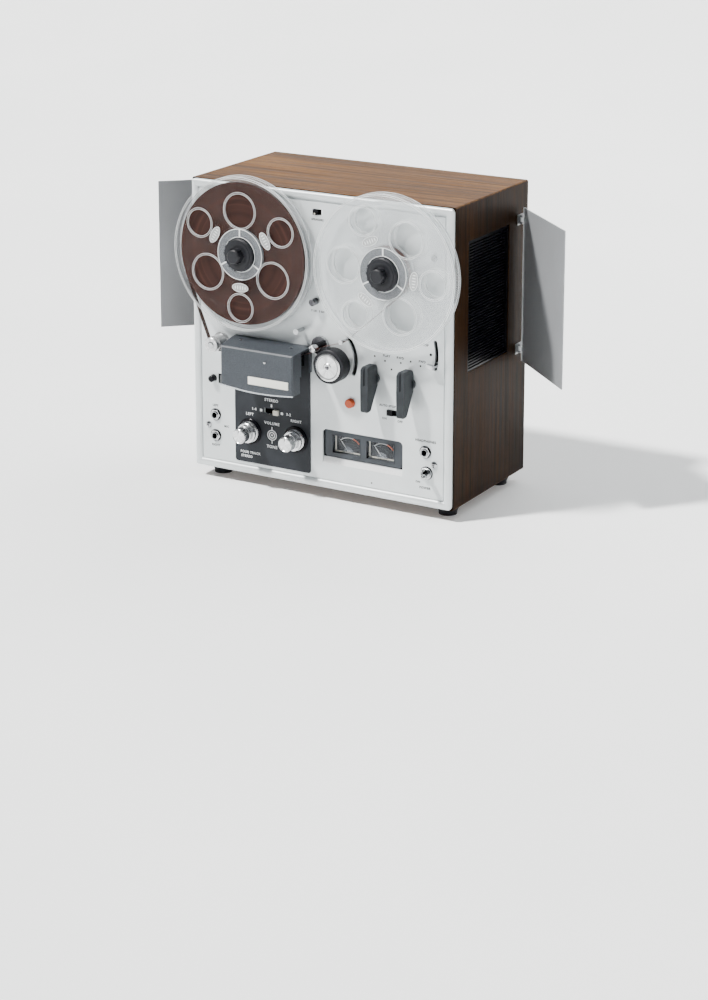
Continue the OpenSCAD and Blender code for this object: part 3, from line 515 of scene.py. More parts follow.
def legend(name, words, x, z, size, material, y=PANEL_Y, body="case"):
    """Small printed words, a twentieth of a millimetre thick."""
    curve = bpy.data.curves.new(name, "FONT")
    curve.body = words
    curve.size = size * MM
    curve.extrude = PRINT_T * MM
    curve.offset = (0.12 if material is DARK_PRINT_AND_SHADE else 0.08) * MM
    curve.resolution_u = 2
    curve.align_x = "CENTER"
    curve.align_y = "CENTER"
    curve.space_character = 1.12
    text = bpy.data.objects.new(name + "_curve", curve)
    bpy.context.scene.collection.objects.link(text)
    text.matrix_world = (Matrix.Translation(at(x, y - 0.05, z))
                         @ Matrix.Rotation(math.pi / 2, 4, "X"))
    bpy.context.view_layer.update()
    mesh = bpy.data.meshes.new_from_object(text)
    mesh.transform(text.matrix_world)
    bpy.data.objects.remove(text)
    made = bpy.data.objects.new(name, mesh)
    bpy.context.scene.collection.objects.link(made)
    mesh.materials.clear()
    mesh.materials.append(material)
    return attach(made, body) if body else made


def turn(bm, origin, axis, profile):
    """Turns an open profile of (radius, distance along the axis) in mm about any axis."""
    axis = Vector(axis).normalized()
    side = axis.orthogonal().normalized()
    up = axis.cross(side)
    rings = []
    for radius, along in profile:
        foot = origin + axis * along * MM
        if radius < ON_AXIS:
            rings.append([bm.verts.new(foot)])
        else:
            rings.append([bm.verts.new(foot + radius * MM * (side * math.cos(t) + up * math.sin(t)))
                          for t in (math.tau * k / TURN_STEPS for k in range(TURN_STEPS))])
    for one, two in zip(rings, rings[1:]):
        join_rings(bm, one, two, TURN_STEPS)


def knurl(bm, centre, radius, y0, y1, count):
    """Fine upright ridges round a turned knob."""
    for i in range(count):
        a = 360 * i / count
        half = 360 / count * 0.34
        foot = [polar(*centre, radius - 0.05, a - half), polar(*centre, radius + RIDGE, a),
                polar(*centre, radius - 0.05, a + half)]
        flat(bm, foot, y0, y1)


# ---------------------------------------------------------------- second finishes on CAD parts

HINGE_X, HINGE_Y, LEAF_EDGE = 173.2, 155.0, 4.6
JACKS = ((136.2, 64.3), (-140.8, 65.6), (-140.9, 40.4))   # headphones, upper and lower microphone
JACK_BORE = 3.4
TOGGLE = (138.0, 40.3)
KNOB_SKIRT = 12.4     # radius outside which the outer knob's foot is black
RING_IN = 10.0        # radius outside which the capstan's bearing is bright


def near(x, z, centre, radius):
    """Whether (x, z) lies within a radius of centre."""
    return math.hypot(x - centre[0], z - centre[1]) < radius


for door in ("left_door", "right_door"):
    second_material(door, WHITE,
                    lambda x, y, z: near(abs(x), y, (HINGE_X, HINGE_Y), LEAF_EDGE))
second_material("panel_fittings", BLACK,
                lambda x, y, z: y > -5.0 and any(near(x, z, jack, JACK_BORE) for jack in JACKS))
second_material("rear_connectors", BLACK, lambda x, y, z: 36 <= x <= 60 and 34 <= z <= 50)
second_material("meter_bezel", BLACK, lambda x, y, z: y > 1.5)
for knob, centre in (("left_outer_knob", LEFT_KNOB), ("right_outer_knob", RIGHT_KNOB)):
    second_material(knob, BLACK,
                    lambda x, y, z, c=centre: -6.5 < y < -4 and not near(x, z, c, KNOB_SKIRT))
# The bevel below the meters, which faces up towards the lamp, gets the paler copy: painted highlight.
second_material("front_panel", PANEL_BEVEL_LIT,
                lambda x, y, z: 0 < x < 110 and 30 < z < 38.6 and y > -2.99)
second_material("capstan_bearing", CHROME,
                lambda x, y, z: not near(x, z, CAPSTAN, RING_IN))
REEL_FACES = 0.35     # how square to the reel's axis a face is to count as its flat face


def bright_edges(node):
    """Gives the rims and beads of a clear reel part a greyer, denser clear plastic: painted shade along
    its edges.
    """
    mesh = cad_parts[node].data
    mesh.materials.append(CLEAR_EDGE_SHADE)
    for face in mesh.polygons:
        if abs(face.normal.y) < REEL_FACES:
            face.material_index = 1


for node in ("supply_reel_flange", "supply_reel_hub", "takeup_reel_flange", "takeup_reel_hub"):
    bright_edges(node)

# ---------------------------------------------------------------- case and grilles

bm = bmesh.new()
for side in (-1, 1):
    slab(bm, side * 162.9, side * 162.3, 31.4, 128.6, 152.4, 300.6)
piece("grille_cloth", bm, CLOTH, "case")

REAR_Y = 173.0        # face of the rear cover
BACKWARDS, FORWARDS = (0, 1, 0), (0, -1, 0)
bm = bmesh.new()
for x in (-150, -50, 50, 150):
    for z in (20, 324):
        turn(bm, at(x, REAR_Y, z), BACKWARDS,
             [(0, -1), (3.4, -1), (3.4, 0.6), (2.4, 1.5), (0, 1.7)])
for x, z in ((-66, 32), (66, 32), (-66, 74), (66, 74)):
    turn(bm, at(x, REAR_Y, z), BACKWARDS,
         [(0, -1), (2.4, -1), (2.4, 0.6), (1.6, 1.3), (0, 1.4)])
piece("rear_screws", bm, STEEL, "case")

bm = bmesh.new()
for x in (-56, -40, -24, -8, 8):
    for z in (42, 64):
        turn(bm, at(x, 178.9, z), BACKWARDS,
             [(1.7, 0), (3.7, 0), (3.7, 0.7), (1.7, 0.7), (1.7, 0)])
piece("phono_insulators", bm, IVORY, "case")

bm = bmesh.new()
turn(bm, at(52, 176, 64), BACKWARDS,
     [(0, -0.5), (6.5, -0.5), (6.5, 0.8), (5.8, 1.3), (0, 1.3)])
slab(bm, 51.2, 52.8, 177, 178.2, 59, 69, 0.2)
piece("voltage_selector_dial", bm, BLACK, "case")

# ---------------------------------------------------------------- front panel

bm = bmesh.new()
PANEL_SCREWS = ((-150.4, 52.2), (147.4, 51.4), (145.5, 285.9))
SLOT_REACH, SLOT_HALF = 2.2, 0.4      # half the length and the width of a screw's slot
for x, z in PANEL_SCREWS:
    turn(bm, at(x, PANEL_Y, z), FORWARDS,
         [(0, -0.5), (3.9, -0.5), (3.9, 0.6), (3.0, 1.7), (1.4, 2.2), (0, 2.3)])
piece("panel_screws", bm, CHROME, "case")

# Thin dark bars on the screw heads: painted shade in the slots.
bm = bmesh.new()
for x, z in PANEL_SCREWS:
    for tilt in (25, 115):
        (x1, z1), (x2, z2) = polar(x, z, SLOT_REACH, tilt), polar(x, z, -SLOT_REACH, tilt)
        dx = SLOT_HALF * math.sin(math.radians(tilt))
        dz = -SLOT_HALF * math.cos(math.radians(tilt))
        flat(bm, [(x1 + dx, z1 + dz), (x1 - dx, z1 - dz), (x2 - dx, z2 - dz), (x2 + dx, z2 + dz)],
             PANEL_Y - 2.35, PANEL_Y - 1.2)
piece("screw_slot_shade", bm, DARK_PRINT_AND_SHADE, "case", keep_flat=True)

PLAY, WIND = (71.5, 141.0), (117.0, 141.0)   # axes of the two levers
DOT_REACH = 24.8
bm = bmesh.new()
for centre, angles in ((PLAY, (0, 32, 60)), (WIND, (-30, 0, 30))):
    for a in angles:
        disc(bm, polar(*centre, DOT_REACH, 90 - a), 1.1, PANEL_Y - 0.05, PANEL_Y + 0.2)
disc(bm, (142.1, 177.1), 1.6, PANEL_Y - 0.05, PANEL_Y + 0.2)
disc(bm, (67.8, 16.9), 1.0, PANEL_Y - 0.05, PANEL_Y + 0.2)
piece("panel_dots", bm, DARK_PRINT_AND_SHADE, "case", keep_flat=True)

# Black sheets behind the stop lever's slot, the stop arm's slot and the counter's wheels: painted shade
# in these openings.
bm = bmesh.new()
arc_band(bm, (86, 176.7), 59.5, 67.0, -15, 15, 5.2, 5.8)
arc_band(bm, (7.2, 156.1), 36.5, 43.5, -24, 42, 12.2, 12.8)
slab(bm, -136.5, -111.5, 26.0, 27.0, 96, 123)
piece("painted_shade_sheets", bm, PAINTED_SHADE_BLACK, "case", keep_flat=True)

bm = bmesh.new()
slab(bm, -5.6, -4.2, -5.0, -4.4, 318.6, 320.2, 0.1)
piece("deck_switch_dot", bm, IVORY, "deck_switch")

WORDS = (
    ("play", "PLAY", 86.5, 168.0, 3.0), ("wind_back", "RWD", 104.0, 168.0, 3.0),
    ("wind_on", "FWD", 131.5, 167.5, 3.0),
    ("stop", "STOP", 134.5, 187.0, 3.0), ("automatic", "AUTO STOP", 88.0, 110.5, 2.8),
    ("stop_on", "ON", 84.0, 95.5, 2.8), ("stop_off", "OFF", 104.0, 94.5, 2.8),
    ("headphones", "HEADPHONES", 136.5, 77.0, 3.0), ("power_on", "ON", 127.0, 28.5, 2.8),
    ("power", "POWER", 136.0, 22.5, 3.0), ("left_in", "LEFT", -141.0, 76.5, 2.8),
    ("right_in", "RIGHT", -141.0, 28.5, 2.8),
    ("microphones", "MIC", -126.0, 53.0, 2.8), ("speeds", "7 1/2   3 3/4", -2.0, 207.5, 2.4),
    ("speakers_on", "SPEAKERS", -2.0, 312.5, 2.6),
)
PANEL_TYPE, PLATE_TYPE = 1.25, 1.35   # type size for a listed height of capitals
for name, words, x, z, size in WORDS:
    legend("legend_" + name, words, x, z, PANEL_TYPE * size, DARK_PRINT_AND_SHADE)

# ---------------------------------------------------------------- control plate

for name, words, x, z, size in (
        ("stereo", "STEREO", -64.0, 94.0, 3.6), ("left_tracks", "1-4", -87.5, 80.5, 3.2),
        ("right_tracks", "3-2", -41.0, 80.5, 3.2),
        ("left_volume", "LEFT", -93.5, 73.5, 3.4), ("right_volume", "RIGHT", -31.0, 74.0, 3.4),
        ("volume", "VOLUME", -63.5, 66.5, 3.6), ("tone", "TONE", -63.5, 38.5, 3.6),
        ("tracks", "FOUR TRACK", -93.0, 27.0, 3.0), ("channels", "STEREO", -98.0, 22.0, 3.0)):
    legend("plate_" + name, words, x, z, PLATE_TYPE * size, PRINT_LIGHT, y=PLATE_Y)

bm = bmesh.new()
KNOB_MARK = (-63.5, 52.5)
for inner, outer in ((5.4, 6.2), (2.9, 3.9), (0.0, 1.1)):
    arc_band(bm, KNOB_MARK, inner, outer, 0, 359.9, PLATE_Y - 0.05, PLATE_Y + 0.1, 48)
for z0, z1 in ((58.7, 62.6), (42.4, 46.3)):
    flat(bm, [(-63.9, z0), (-63.1, z0), (-63.1, z1), (-63.9, z1)], PLATE_Y - 0.05, PLATE_Y + 0.1)
for x0, x1, z0, z1 in ((-79.5, -76.5, 79, 82), (-51.4, -48.4, 79, 82), (-64.8, -63.0, 86.0, 89.5)):
    flat(bm, [(x0, z0), (x1, z0), (x1, z1), (x0, z1)], PLATE_Y - 0.05, PLATE_Y + 0.1)
piece("plate_marks", bm, PRINT_LIGHT, "case", keep_flat=True)

# ---------------------------------------------------------------- knobs, buttons and switches

KNOBS = (("left", LEFT_KNOB), ("right", RIGHT_KNOB))
for side, centre in KNOBS:
    bm = bmesh.new()
    knurl(bm, centre, 8.6, -28.2, -18.8, 44)
    lathe(bm, centre, [(7.2, -29.0), (7.6, -29.35), (8.2, -29.2), (8.3, -28.8), (7.2, -28.8)], 64)
    piece(side + "_inner_knurl", bm, KNOB_METAL[side], side + "_inner_knob")
    bm = bmesh.new()
    knurl(bm, centre, 11.8, -13.0, -10.5, 60)
    lathe(bm, centre, [(12.1, -8.9), (12.45, -8.7), (12.45, -8.3), (12.1, -8.1)], 64)
    lathe(bm, centre, [(12.1, -7.3), (12.45, -7.1), (12.45, -6.7), (12.1, -6.5)], 64)
    piece(side + "_outer_knurl", bm, KNOB_METAL[side], side + "_outer_knob")
    bm = bmesh.new()
    lathe(bm, centre, [(12.3, -6.2), (14.8, -6.2), (15.4, -5.6), (15.4, -4.3), (12.3, -4.3)], 64)
    piece(side + "_knob_skirt", bm, BLACK, side + "_outer_knob")
    bm = bmesh.new()
    flat(bm, [(centre[0] - 0.35, centre[1] + 4.2), (centre[0] + 0.35, centre[1] + 4.2),
              (centre[0] + 0.35, centre[1] + 7.0), (centre[0] - 0.35, centre[1] + 7.0)], -29.06, -28.7)
    piece(side + "_knob_line", bm, DARK_PRINT_AND_SHADE, side + "_inner_knob", keep_flat=True)

bm = bmesh.new()
lathe(bm, TOGGLE, [(4.5, -5.5), (6.2, -5.5), (6.7, -5.9), (6.2, -6.3), (4.9, -6.4), (4.5, -6.0)], 6)
lathe(bm, TOGGLE, [(4.6, -6.2), (5.4, -6.2), (5.3, -7.6), (4.6, -7.8)], 40)
piece("toggle_bushing_nut", bm, CHROME, "case")

# Dark washers behind the jack and toggle nuts: real washers, made dark as painted shade round the nuts.
bm = bmesh.new()
for centre, reach in [(jack, 7.4) for jack in JACKS] + [(TOGGLE, 7.8)]:
    lathe(bm, centre, [(4.65, PANEL_Y - 0.25), (reach, PANEL_Y - 0.25),
                       (reach, PANEL_Y + 0.2), (4.65, PANEL_Y + 0.2)], 40)
piece("dark_washers_and_shade", bm, BEARING, "case")

bm = bmesh.new()
for centre in JACKS:
    lathe(bm, centre, [(4.3, -5.2), (6.6, -5.2), (6.6, -3.9), (6.2, -3.0), (4.3, -3.0)], 6)
    lathe(bm, centre, [(3.4, -5.0), (4.4, -5.0), (4.4, -6.1), (3.9, -6.5), (3.4, -6.3)], 40)
piece("jack_nuts", bm, CHROME, "case")

bm = bmesh.new()
for x in (-59.6, -58.2, -56.8, -55.4):
    slab(bm, x - 0.3, x + 0.3, -6.5, -6.1, 78.2, 82.8, 0.08, 1)
piece("track_selector_ribs", bm, IVORY, "track_selector")

# ---------------------------------------------------------------- counter

WHEELS = (("hundreds", -130.2), ("tens", -123.8), ("units", -117.4))
WHEEL_Y, WHEEL_Z, WHEEL_R = 14.0, 109.5, 11.0
for name, x in WHEELS:
    digits = []
    for number in range(10):
        made = legend(f"{name}_{number}", str(number), x, WHEEL_Z, 5.6, PRINT_LIGHT,
                      y=WHEEL_Y - WHEEL_R, body=None)
        axis_at = at(x, WHEEL_Y, WHEEL_Z)
        made.data.transform(Matrix.Translation(axis_at)
                            @ Matrix.Rotation(math.radians(36 * number), 4, "X")
                            @ Matrix.Translation(-axis_at))
        digits.append(made)
    joined = bmesh.new()
    for made in digits:
        joined.from_mesh(made.data)
        bpy.data.objects.remove(made)
    piece(name + "_digits", joined, PRINT_LIGHT, name + "_wheel", keep_flat=True)

bm = bmesh.new()
for x0, x1, z0, z1 in ((-136.2, -134.6, 103.3, 115.7), (-113.4, -111.8, 103.3, 115.7),
                       (-136.2, -111.8, 103.3, 104.8), (-136.2, -111.8, 114.2, 115.7)):
    slab(bm, x0, x1, PANEL_Y - 0.7, PANEL_Y + 0.6, z0, z1, 0.25)
piece("counter_bezel", bm, BLACK, "case")

# ---------------------------------------------------------------- meters

METERS = (("left", 34.0, 16.2, 51.8), ("right", 78.0, 60.3, 95.3))   # pivot, window's sides
PIVOT_Z, DIAL_Y = 45.0, 5.0
ARC_R = 17.0
WINDOW_LOW, WINDOW_HIGH = 44.5, 65.0
RIM_FRONT, RIM_BACK = -1.75, -1.2
for name, x, x0, x1 in METERS:
    pivot = (x, PIVOT_Z)
    bm = bmesh.new()
    arc_band(bm, pivot, ARC_R, ARC_R + 0.75, 74, 130, DIAL_Y - 0.1, DIAL_Y + 0.1)
    for a in (130, 118, 107, 97, 88, 80, 74):
        arc_band(bm, pivot, ARC_R, ARC_R + 1.7, a - 0.7, a + 0.7, DIAL_Y - 0.1, DIAL_Y + 0.1, 2)
    piece(name + "_dial_scale", bm, PRINT_LIGHT, "case", keep_flat=True)
    bm = bmesh.new()
    arc_band(bm, pivot, ARC_R, ARC_R + 1.1, 42, 73, DIAL_Y - 0.1, DIAL_Y + 0.1)
    piece(name + "_dial_red", bm, DIAL_RED, "case", keep_flat=True)
    bm = bmesh.new()
    slab(bm, x0 + 0.3, x0 + 2.1, 3.5, 4.15, 44.6, 64.8, 0.2)
    slab(bm, x0 + 0.3, x1 - 0.3, 3.5, 4.15, 44.6, 46.2, 0.2)
    piece(name + "_dial_frame", bm, IVORY, "case")
    bm = bmesh.new()
    arc_band(bm, (x, 45.6), 0.02, 6.4, 2, 178, 2.6, 3.8, 32)
    piece(name + "_pivot_cover", bm, HAZE, "case")
    bm = bmesh.new()
    slab(bm, x0 - 0.2, x1 + 0.2, 0.2, 0.8, 44.3, 65.2, 0.1)
    piece(name + "_window", bm, GLASS, "case")
bm = bmesh.new()
for name, x, x0, x1 in METERS:
    slab(bm, x0 - 1.0, x0, RIM_FRONT, RIM_BACK, WINDOW_LOW - 1.0, WINDOW_HIGH + 1.0, 0.2)
    slab(bm, x1, x1 + 1.0, RIM_FRONT, RIM_BACK, WINDOW_LOW - 1.0, WINDOW_HIGH + 1.0, 0.2)
    slab(bm, x0 - 1.0, x1 + 1.0, RIM_FRONT, RIM_BACK, WINDOW_HIGH, WINDOW_HIGH + 1.0, 0.2)
    slab(bm, x0 - 1.0, x1 + 1.0, RIM_FRONT, RIM_BACK, WINDOW_LOW - 1.0, WINDOW_LOW, 0.2)
piece("meter_window_rims", bm, BEZEL, "case")

# ---------------------------------------------------------------- head cover

bm = bmesh.new()
slab(bm, -68, -15, COVER_Y - 1.1, COVER_Y + 0.4, 124, 133, 0.35)
piece("blank_nameplate", bm, NAME_METAL, "case")

bm = bmesh.new()
for x in (-94, -27):
    turn(bm, at(x, -20, 165.0), (0, -0.05, 1),
         [(0, -1), (2.0, -1), (2.0, 0.8), (1.3, 1.4), (0, 1.6)])
turn(bm, at(-46, COVER_Y, 152), FORWARDS,
     [(0, -1), (1.6, -1), (1.5, 0.6), (0.8, 1.0), (0, 1.1)])
piece("cover_screws", bm, CHROME, "case")

# The head cover's rolled lower lip as a thin tube, coloured pale: painted highlight along the edge.
LIP = [at(-108.5 + 99 * i / 24, COVER_Y + 0.3,
          118.6 - 3.5 * math.sin(math.pi * i / 24) - 1.5 * i / 24) for i in range(25)]
bm = bmesh.new()
tube(bm, LIP, 0.8)
piece("cover_lip", bm, LIP_HIGHLIGHT, "case")

bm = bmesh.new()
slab(bm, -96, -72, -24.2, -9.0, 155.5, 163.4, 0.4)
slab(bm, -62, -38, -24.2, -9.0, 157.0, 163.4, 0.4)
piece("head_shields", bm, STEEL, "case")

# ---------------------------------------------------------------- reels

REELS = (("supply", SUPPLY, 0.0), ("takeup", TAKEUP, -35.0))   # and how far each is turned
BADGE_REACH = 38.5                # from the reel's axis to the middle of a badge
BADGE_LONG, BADGE_SHORT = 10.6, 5.2   # half the sides of a badge
BADGES_AT = (30, 150, 270)
WINDOWS = ((50.0, 90, (19.6, 21.3)), (62.0, 150, (15.4, 17.1)))   # reach, first angle, rings
FRONT_RING, BACK_RING = -22.5, -10.3


def oval_points(where, long, short, lean):
    """Outline of an oval, leaning from the level."""
    tilt = math.radians(lean)
    return [(where[0] + long * math.cos(t) * math.cos(tilt) - short * math.sin(t) * math.sin(tilt),
             where[1] + long * math.cos(t) * math.sin(tilt) + short * math.sin(t) * math.cos(tilt))
            for t in (math.tau * i / 32 for i in range(32))]


def oval(bm, where, long, short, lean, y0, y1):
    """An oval plate."""
    flat(bm, oval_points(where, long, short, lean), y0, y1)


def oval_rim(bm, where, long, short, lean, width, y0, y1):
    """A raised rim round an oval."""
    outer = oval_points(where, long, short, lean)
    inner = oval_points(where, long - width, short - width, lean)
    rings = [[bm.verts.new(at(x, y, z)) for x, z in line] for line, y in
             ((outer, y1), (outer, y0), (inner, y0), (inner, y1))]
    for one, two in zip(rings, rings[1:] + rings[:1]):
        for i in range(len(one)):
            j = (i + 1) % len(one)
            bm.faces.new([one[i], one[j], two[j], two[i]])


def ring_section(radius, y, half):
    """Section of a thin round ring, for lathe()."""
    return [(radius + half * math.cos(t), y + half * math.sin(t))
            for t in (math.tau * k / 8 for k in range(8))]


for name, centre, turned_by in REELS:
    bm = bmesh.new()
    for i in range(14):
        a = 360 * i / 14
        one, two = polar(*centre, 17.2, a - 4.5), polar(*centre, 17.2, a + 4.5)
        three, four = polar(*centre, 19.3, a + 3.6), polar(*centre, 19.3, a - 3.6)
        flat(bm, [one, four, three, two], -26.4, -22.8)
    for i in range(6):
        a = 60 * i
        one, two = polar(*centre, 7.6, a - 9), polar(*centre, 7.6, a + 9)
        three, four = polar(*centre, 9.1, a + 6), polar(*centre, 9.1, a - 6)
        flat(bm, [one, four, three, two], -37.0, -27.0)
    lathe(bm, centre, [(9.6, -26.8), (15.8, -26.8), (15.8, -27.5), (14.8, -27.9),
                       (10.6, -27.9), (9.6, -27.5)], 64)
    piece(name + "_cap_ribs", bm, RUBBER, name + "_reel")
    bm = bmesh.new()
    for a in BADGES_AT:
        where = polar(*centre, BADGE_REACH, a + turned_by)
        oval(bm, where, BADGE_LONG, BADGE_SHORT, a + turned_by - 90, -22.4, -21.9)
    piece(name + "_reel_badges", bm, BADGE, name + "_reel", keep_flat=True)
    bm = bmesh.new()
    for a in BADGES_AT:
        where = polar(*centre, BADGE_REACH, a + turned_by)
        oval_rim(bm, where, BADGE_LONG, BADGE_SHORT, a + turned_by - 90, 0.55, -22.75, -22.3)
        for k in (-2, -1, 0, 1, 2):
            lean = math.radians(a + turned_by - 90)
            x, z = where[0] + 3.3 * k * math.cos(lean), where[1] + 3.3 * k * math.sin(lean)
            oval(bm, (x, z), 0.5, 2.6 - 0.3 * abs(k), a + turned_by - 90, -22.7, -22.3)
    for reach, first, radii in WINDOWS:
        for a in (first, first + 120, first + 240):
            where = polar(*centre, reach, a + turned_by)
            for radius in radii:
                for y in ((FRONT_RING,) if name == "supply" else (FRONT_RING, BACK_RING)):
                    lathe(bm, where, ring_section(radius, y, 0.22), 48)
    for radius in (88.5, 86.7):
        for y in (-22.1, -9.1):
            lathe(bm, centre, ring_section(radius, y, 0.26), 120)
    for radius in (29.2, 20.0):
        lathe(bm, centre, ring_section(radius, -22.6, 0.45), 72)
    for a in (90, 210, 330):
        one, two = polar(*centre, 20.4, a - 2.2), polar(*centre, 20.4, a + 2.2)
        three, four = polar(*centre, 29.0, a + 1.6), polar(*centre, 29.0, a - 1.6)
        flat(bm, [one, four, three, two], -22.9, -22.5)
    # The rims, rings, beads and spokes of each reel are drawn near white: painted highlight on clear
    # plastic.
    piece(name + "_reel_edges", bm, RIM_HIGHLIGHT, name + "_reel")
    bm = bmesh.new()
    lathe(bm, centre, [(9.0, -22.6), (28.8, -22.6), (28.8, -22.45), (9.0, -22.45)], 72)
    piece(name + "_hub_face", bm, HUB_GREY, name + "_reel")
    bm = bmesh.new()
    lathe(bm, centre, [(26.7, -19.5), (26.7, -12.2), (26.2, -12.2), (26.2, -19.5)], 72)
    lathe(bm, centre, [(9.2, -19.5), (10.2, -19.5), (10.2, -12.5), (9.2, -12.5)], 48)
    piece(name + "_hub_drum", bm, REEL_METAL[name], name + "_reel")

bm = bmesh.new()
lathe(bm, TAKEUP, [(29.52, -18.6), (29.95, -18.6), (29.95, -12.4), (29.52, -12.4)], 72)
piece("takeup_first_turns", bm, TAPE, "takeup_reel")

# ---------------------------------------------------------------- tape

TAPE_FRONT, TAPE_BACK, TAPE_T = -18.67, -12.33, 0.06
GAP = 0.42                        # from what the tape passes to the middle of the tape
SHUTOFF = (7.2, 156.1)            # axis of the stop arm
PIN = polar(*SHUTOFF, 40, 39)
STOPS = ((SUPPLY, 82.0), (GUIDE, 9.0), ((-24.0, 157.6), 2.5), (CAPSTAN, 4.2),
         (PIN, 1.5), (TAKEUP, 29.5))   # circles the tape goes round, in order


def heading(one, two):
    """Direction of a tape that passes two circles on its left."""
    (c1, r1), (c2, r2) = one, two
    dx, dz = c2[0] - c1[0], c2[1] - c1[1]
    return math.degrees(math.atan2(dz, dx) + math.asin((r1 - r2) / math.hypot(dx, dz)))


HEADINGS = [heading(*pair) for pair in zip(STOPS, STOPS[1:])]


def leaves(stop, angle):
    """Where a tape heading that way touches the circle of a stop."""
    return polar(*stop[0], stop[1] + GAP, angle - 90)


def even(one, two, steps):
    """Points from one to two, both ends included."""
    return [(one[0] + (two[0] - one[0]) * k / steps, one[1] + (two[1] - one[1]) * k / steps)
            for k in range(steps + 1)]


def run(first, last, steps=10):
    """Points along the tape from circle first to circle last."""
    points = []
    for i in range(first, last):
        p, q = leaves(STOPS[i], HEADINGS[i]), leaves(STOPS[i + 1], HEADINGS[i])
        points += even(p, q, steps)
        if i + 1 < last:
            bent = HEADINGS[i + 1] - HEADINGS[i]
            points += [leaves(STOPS[i + 1], HEADINGS[i] + bent * k / 8) for k in range(1, 8)]
    return points


def ribbon(name, points):
    """Thin tape along points of the deck frame."""
    bm = bmesh.new()
    rows = []
    for i, (x, z) in enumerate(points):
        ahead, behind = points[min(i + 1, len(points) - 1)], points[max(i - 1, 0)]
        dx, dz = ahead[0] - behind[0], ahead[1] - behind[1]
        size = math.hypot(dx, dz) or 1.0
        nx, nz = -dz / size * TAPE_T / 2, dx / size * TAPE_T / 2
        rows.append([bm.verts.new(corner) for corner in (
            at(x + nx, TAPE_FRONT, z + nz), at(x + nx, TAPE_BACK, z + nz),
            at(x - nx, TAPE_BACK, z - nz), at(x - nx, TAPE_FRONT, z - nz))])
    for one, two in zip(rows, rows[1:]):
        for k in range(4):
            bm.faces.new([one[k], one[(k + 1) % 4], two[(k + 1) % 4], two[k]])
    bm.faces.new(rows[0])
    bm.faces.new(list(reversed(rows[-1])))
    return piece(name, bm, TAPE, None)


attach(ribbon("tape_past_the_heads", run(0, 3)), "case")

# Between capstan and pin the tape bends as it does over the roller when that presses.
PRESSED = (21.2, 153.7)           # the roller's axis when it presses
PRESSED_R = 19.8
NIP, OFF_ROLLER = 51.2, 16.3      # the tape's heading at the capstan and where it leaves the roller
to_pin = [leaves(STOPS[3], HEADINGS[2] + (NIP - HEADINGS[2]) * k / 8) for k in range(8)]
to_pin += [polar(*PRESSED, PRESSED_R, NIP + 90 + (OFF_ROLLER - NIP) * k / 10) for k in range(11)]
to_pin += even(to_pin[-1], leaves(STOPS[4], OFF_ROLLER), 12)[1:]
bend = to_pin[-2]
to_pin[-2:] = even(bend, to_pin[-1], 12)
to_arm = ribbon("tape_to_the_arm", to_pin)
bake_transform(to_arm)
to_hub = run(4, 5, 30)
bend = to_hub[1]
to_hub[:2] = even(to_hub[0], bend, 12)
from_pin = ribbon("tape_to_the_takeup_reel", to_hub)
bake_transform(from_pin)
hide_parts("tape_path")

# ---------------------------------------------------------------- roller and guide

bm = bmesh.new()
lathe(bm, ROLLER, [(0, -27.0), (2.6, -27.0), (2.6, -28.0), (1.9, -28.6), (0.7, -28.7),
                   (0, -28.2)], 6, closed=False)
piece("roller_nut", bm, BEARING, "pinch_roller")
bm = bmesh.new()
lathe(bm, ROLLER, [(12.6, -26.9), (13.4, -26.9), (13.4, -26.6), (12.6, -26.6)], 64)
piece("roller_groove", bm, STEEL, "pinch_roller")
bm = bmesh.new()
lathe(bm, GUIDE, [(0, -31.2), (3.2, -31.2), (4.0, -30.7), (4.0, -30.0), (2.7, -30.0),
                  (2.7, -30.6), (0, -30.6)], 40, closed=False)
piece("guide_cap", bm, CHROME, "guide_roller")

# ---------------------------------------------------------------- studio

FLOOR = finish("studio_floor", (0.9, 0.92, 0.925), (0.95, 0.96, 0.965), 0.7, 0.0, 400, 0.05, 3,
               Specular_IOR_Level=0.1)
floor_shader = FLOOR.node_tree.nodes["Principled BSDF"]
floor_shader.inputs["Emission Color"].default_value = (1.0, 1.0, 0.985, 1)
floor_shader.inputs["Emission Strength"].default_value = 0.15
# Outline of the background as (y, z), and half its width, in metres.
SWEEP = ((-9.0, 0.0), (2.2, 0.0), (3.2, 0.14), (3.9, 0.6), (4.2, 1.4), (4.2, 9.0))
SWEEP_W = 12.0
bm = bmesh.new()
rows = [[bm.verts.new((x, y, z)) for x in (-SWEEP_W, SWEEP_W)] for y, z in SWEEP]
for one, two in zip(rows, rows[1:]):
    bm.faces.new([one[0], one[1], two[1], two[0]])
mesh = bpy.data.meshes.new("studio_sweep")
bm.to_mesh(mesh)
bm.free()
backdrop = bpy.data.objects.new("studio_sweep", mesh)
bpy.context.scene.collection.objects.link(backdrop)
mesh.materials.append(FLOOR)
mesh.shade_smooth()

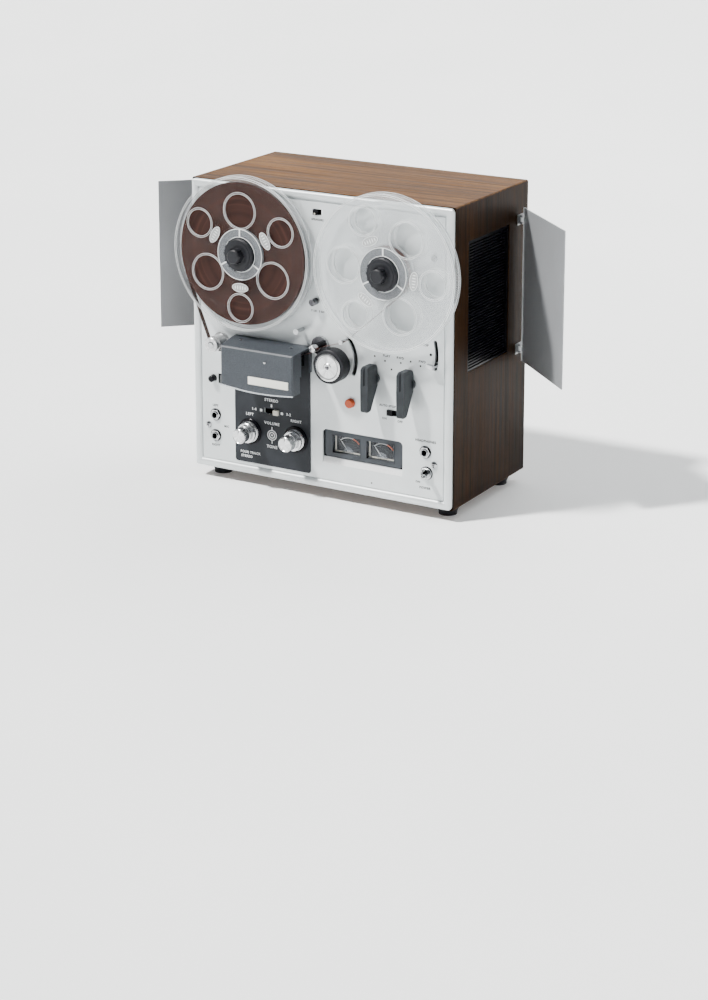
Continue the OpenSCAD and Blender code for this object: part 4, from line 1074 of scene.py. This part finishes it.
TARGET = at(0, 60, 170)                # what the soft lamp faces
SUN_FROM, SOFT_FROM = (-0.42, -0.47, 0.92), (0.1, 0.75, 0.8)
SOFT_AWAY = 2.6

sun = bpy.data.lights.new("key", "SUN")
sun.energy = 7.6
sun.angle = math.radians(5)
sun.color = (1.0, 0.985, 0.96)
key = bpy.data.objects.new("key", sun)
bpy.context.scene.collection.objects.link(key)
key.rotation_euler = Vector(SUN_FROM).to_track_quat("Z", "Y").to_euler()

lamp = bpy.data.lights.new("top_soft", "AREA")
lamp.size = 1.6
lamp.energy = 26
lamp.color = (1, 1, 1)
soft = bpy.data.objects.new("top_soft", lamp)
bpy.context.scene.collection.objects.link(soft)
away = Vector(SOFT_FROM).normalized()
soft.location = TARGET + away * SOFT_AWAY
soft.rotation_euler = away.to_track_quat("Z", "Y").to_euler()

world = bpy.data.worlds.new("studio")
world.use_nodes = True
sky = world.node_tree
height = sky.nodes.new("ShaderNodeSeparateXYZ")
sky.links.new(sky.nodes.new("ShaderNodeTexCoord").outputs["Generated"], height.inputs[0])
band = sky.nodes.new("ShaderNodeValToRGB")
band.color_ramp.elements[0].position = 0.0
band.color_ramp.elements[0].color = (0.05, 0.055, 0.065, 1)
band.color_ramp.elements[1].position = 0.75
band.color_ramp.elements[1].color = (1.15, 1.2, 1.26, 1)
sky.links.new(height.outputs["Z"], band.inputs["Fac"])
sky.links.new(band.outputs["Color"], sky.nodes["Background"].inputs["Color"])
sky.nodes["Background"].inputs["Strength"].default_value = 0.32
bpy.context.scene.world = world

CAMERA_AT = (1.366, -2.348, 0.913)
CAMERA_DOWN, CAMERA_LEFT = 14.36, 30.15   # degrees below the level, and turned to the left
camera = bpy.data.cameras.new("camera")
camera.lens = 88.13
camera.sensor_width = 36.0
camera.shift_y = -0.2
view_from = bpy.data.objects.new("camera", camera)
bpy.context.scene.collection.objects.link(view_from)
view_from.location = CAMERA_AT
view_from.rotation_euler = (math.radians(90 - CAMERA_DOWN), 0, math.radians(CAMERA_LEFT))
bpy.context.scene.camera = view_from
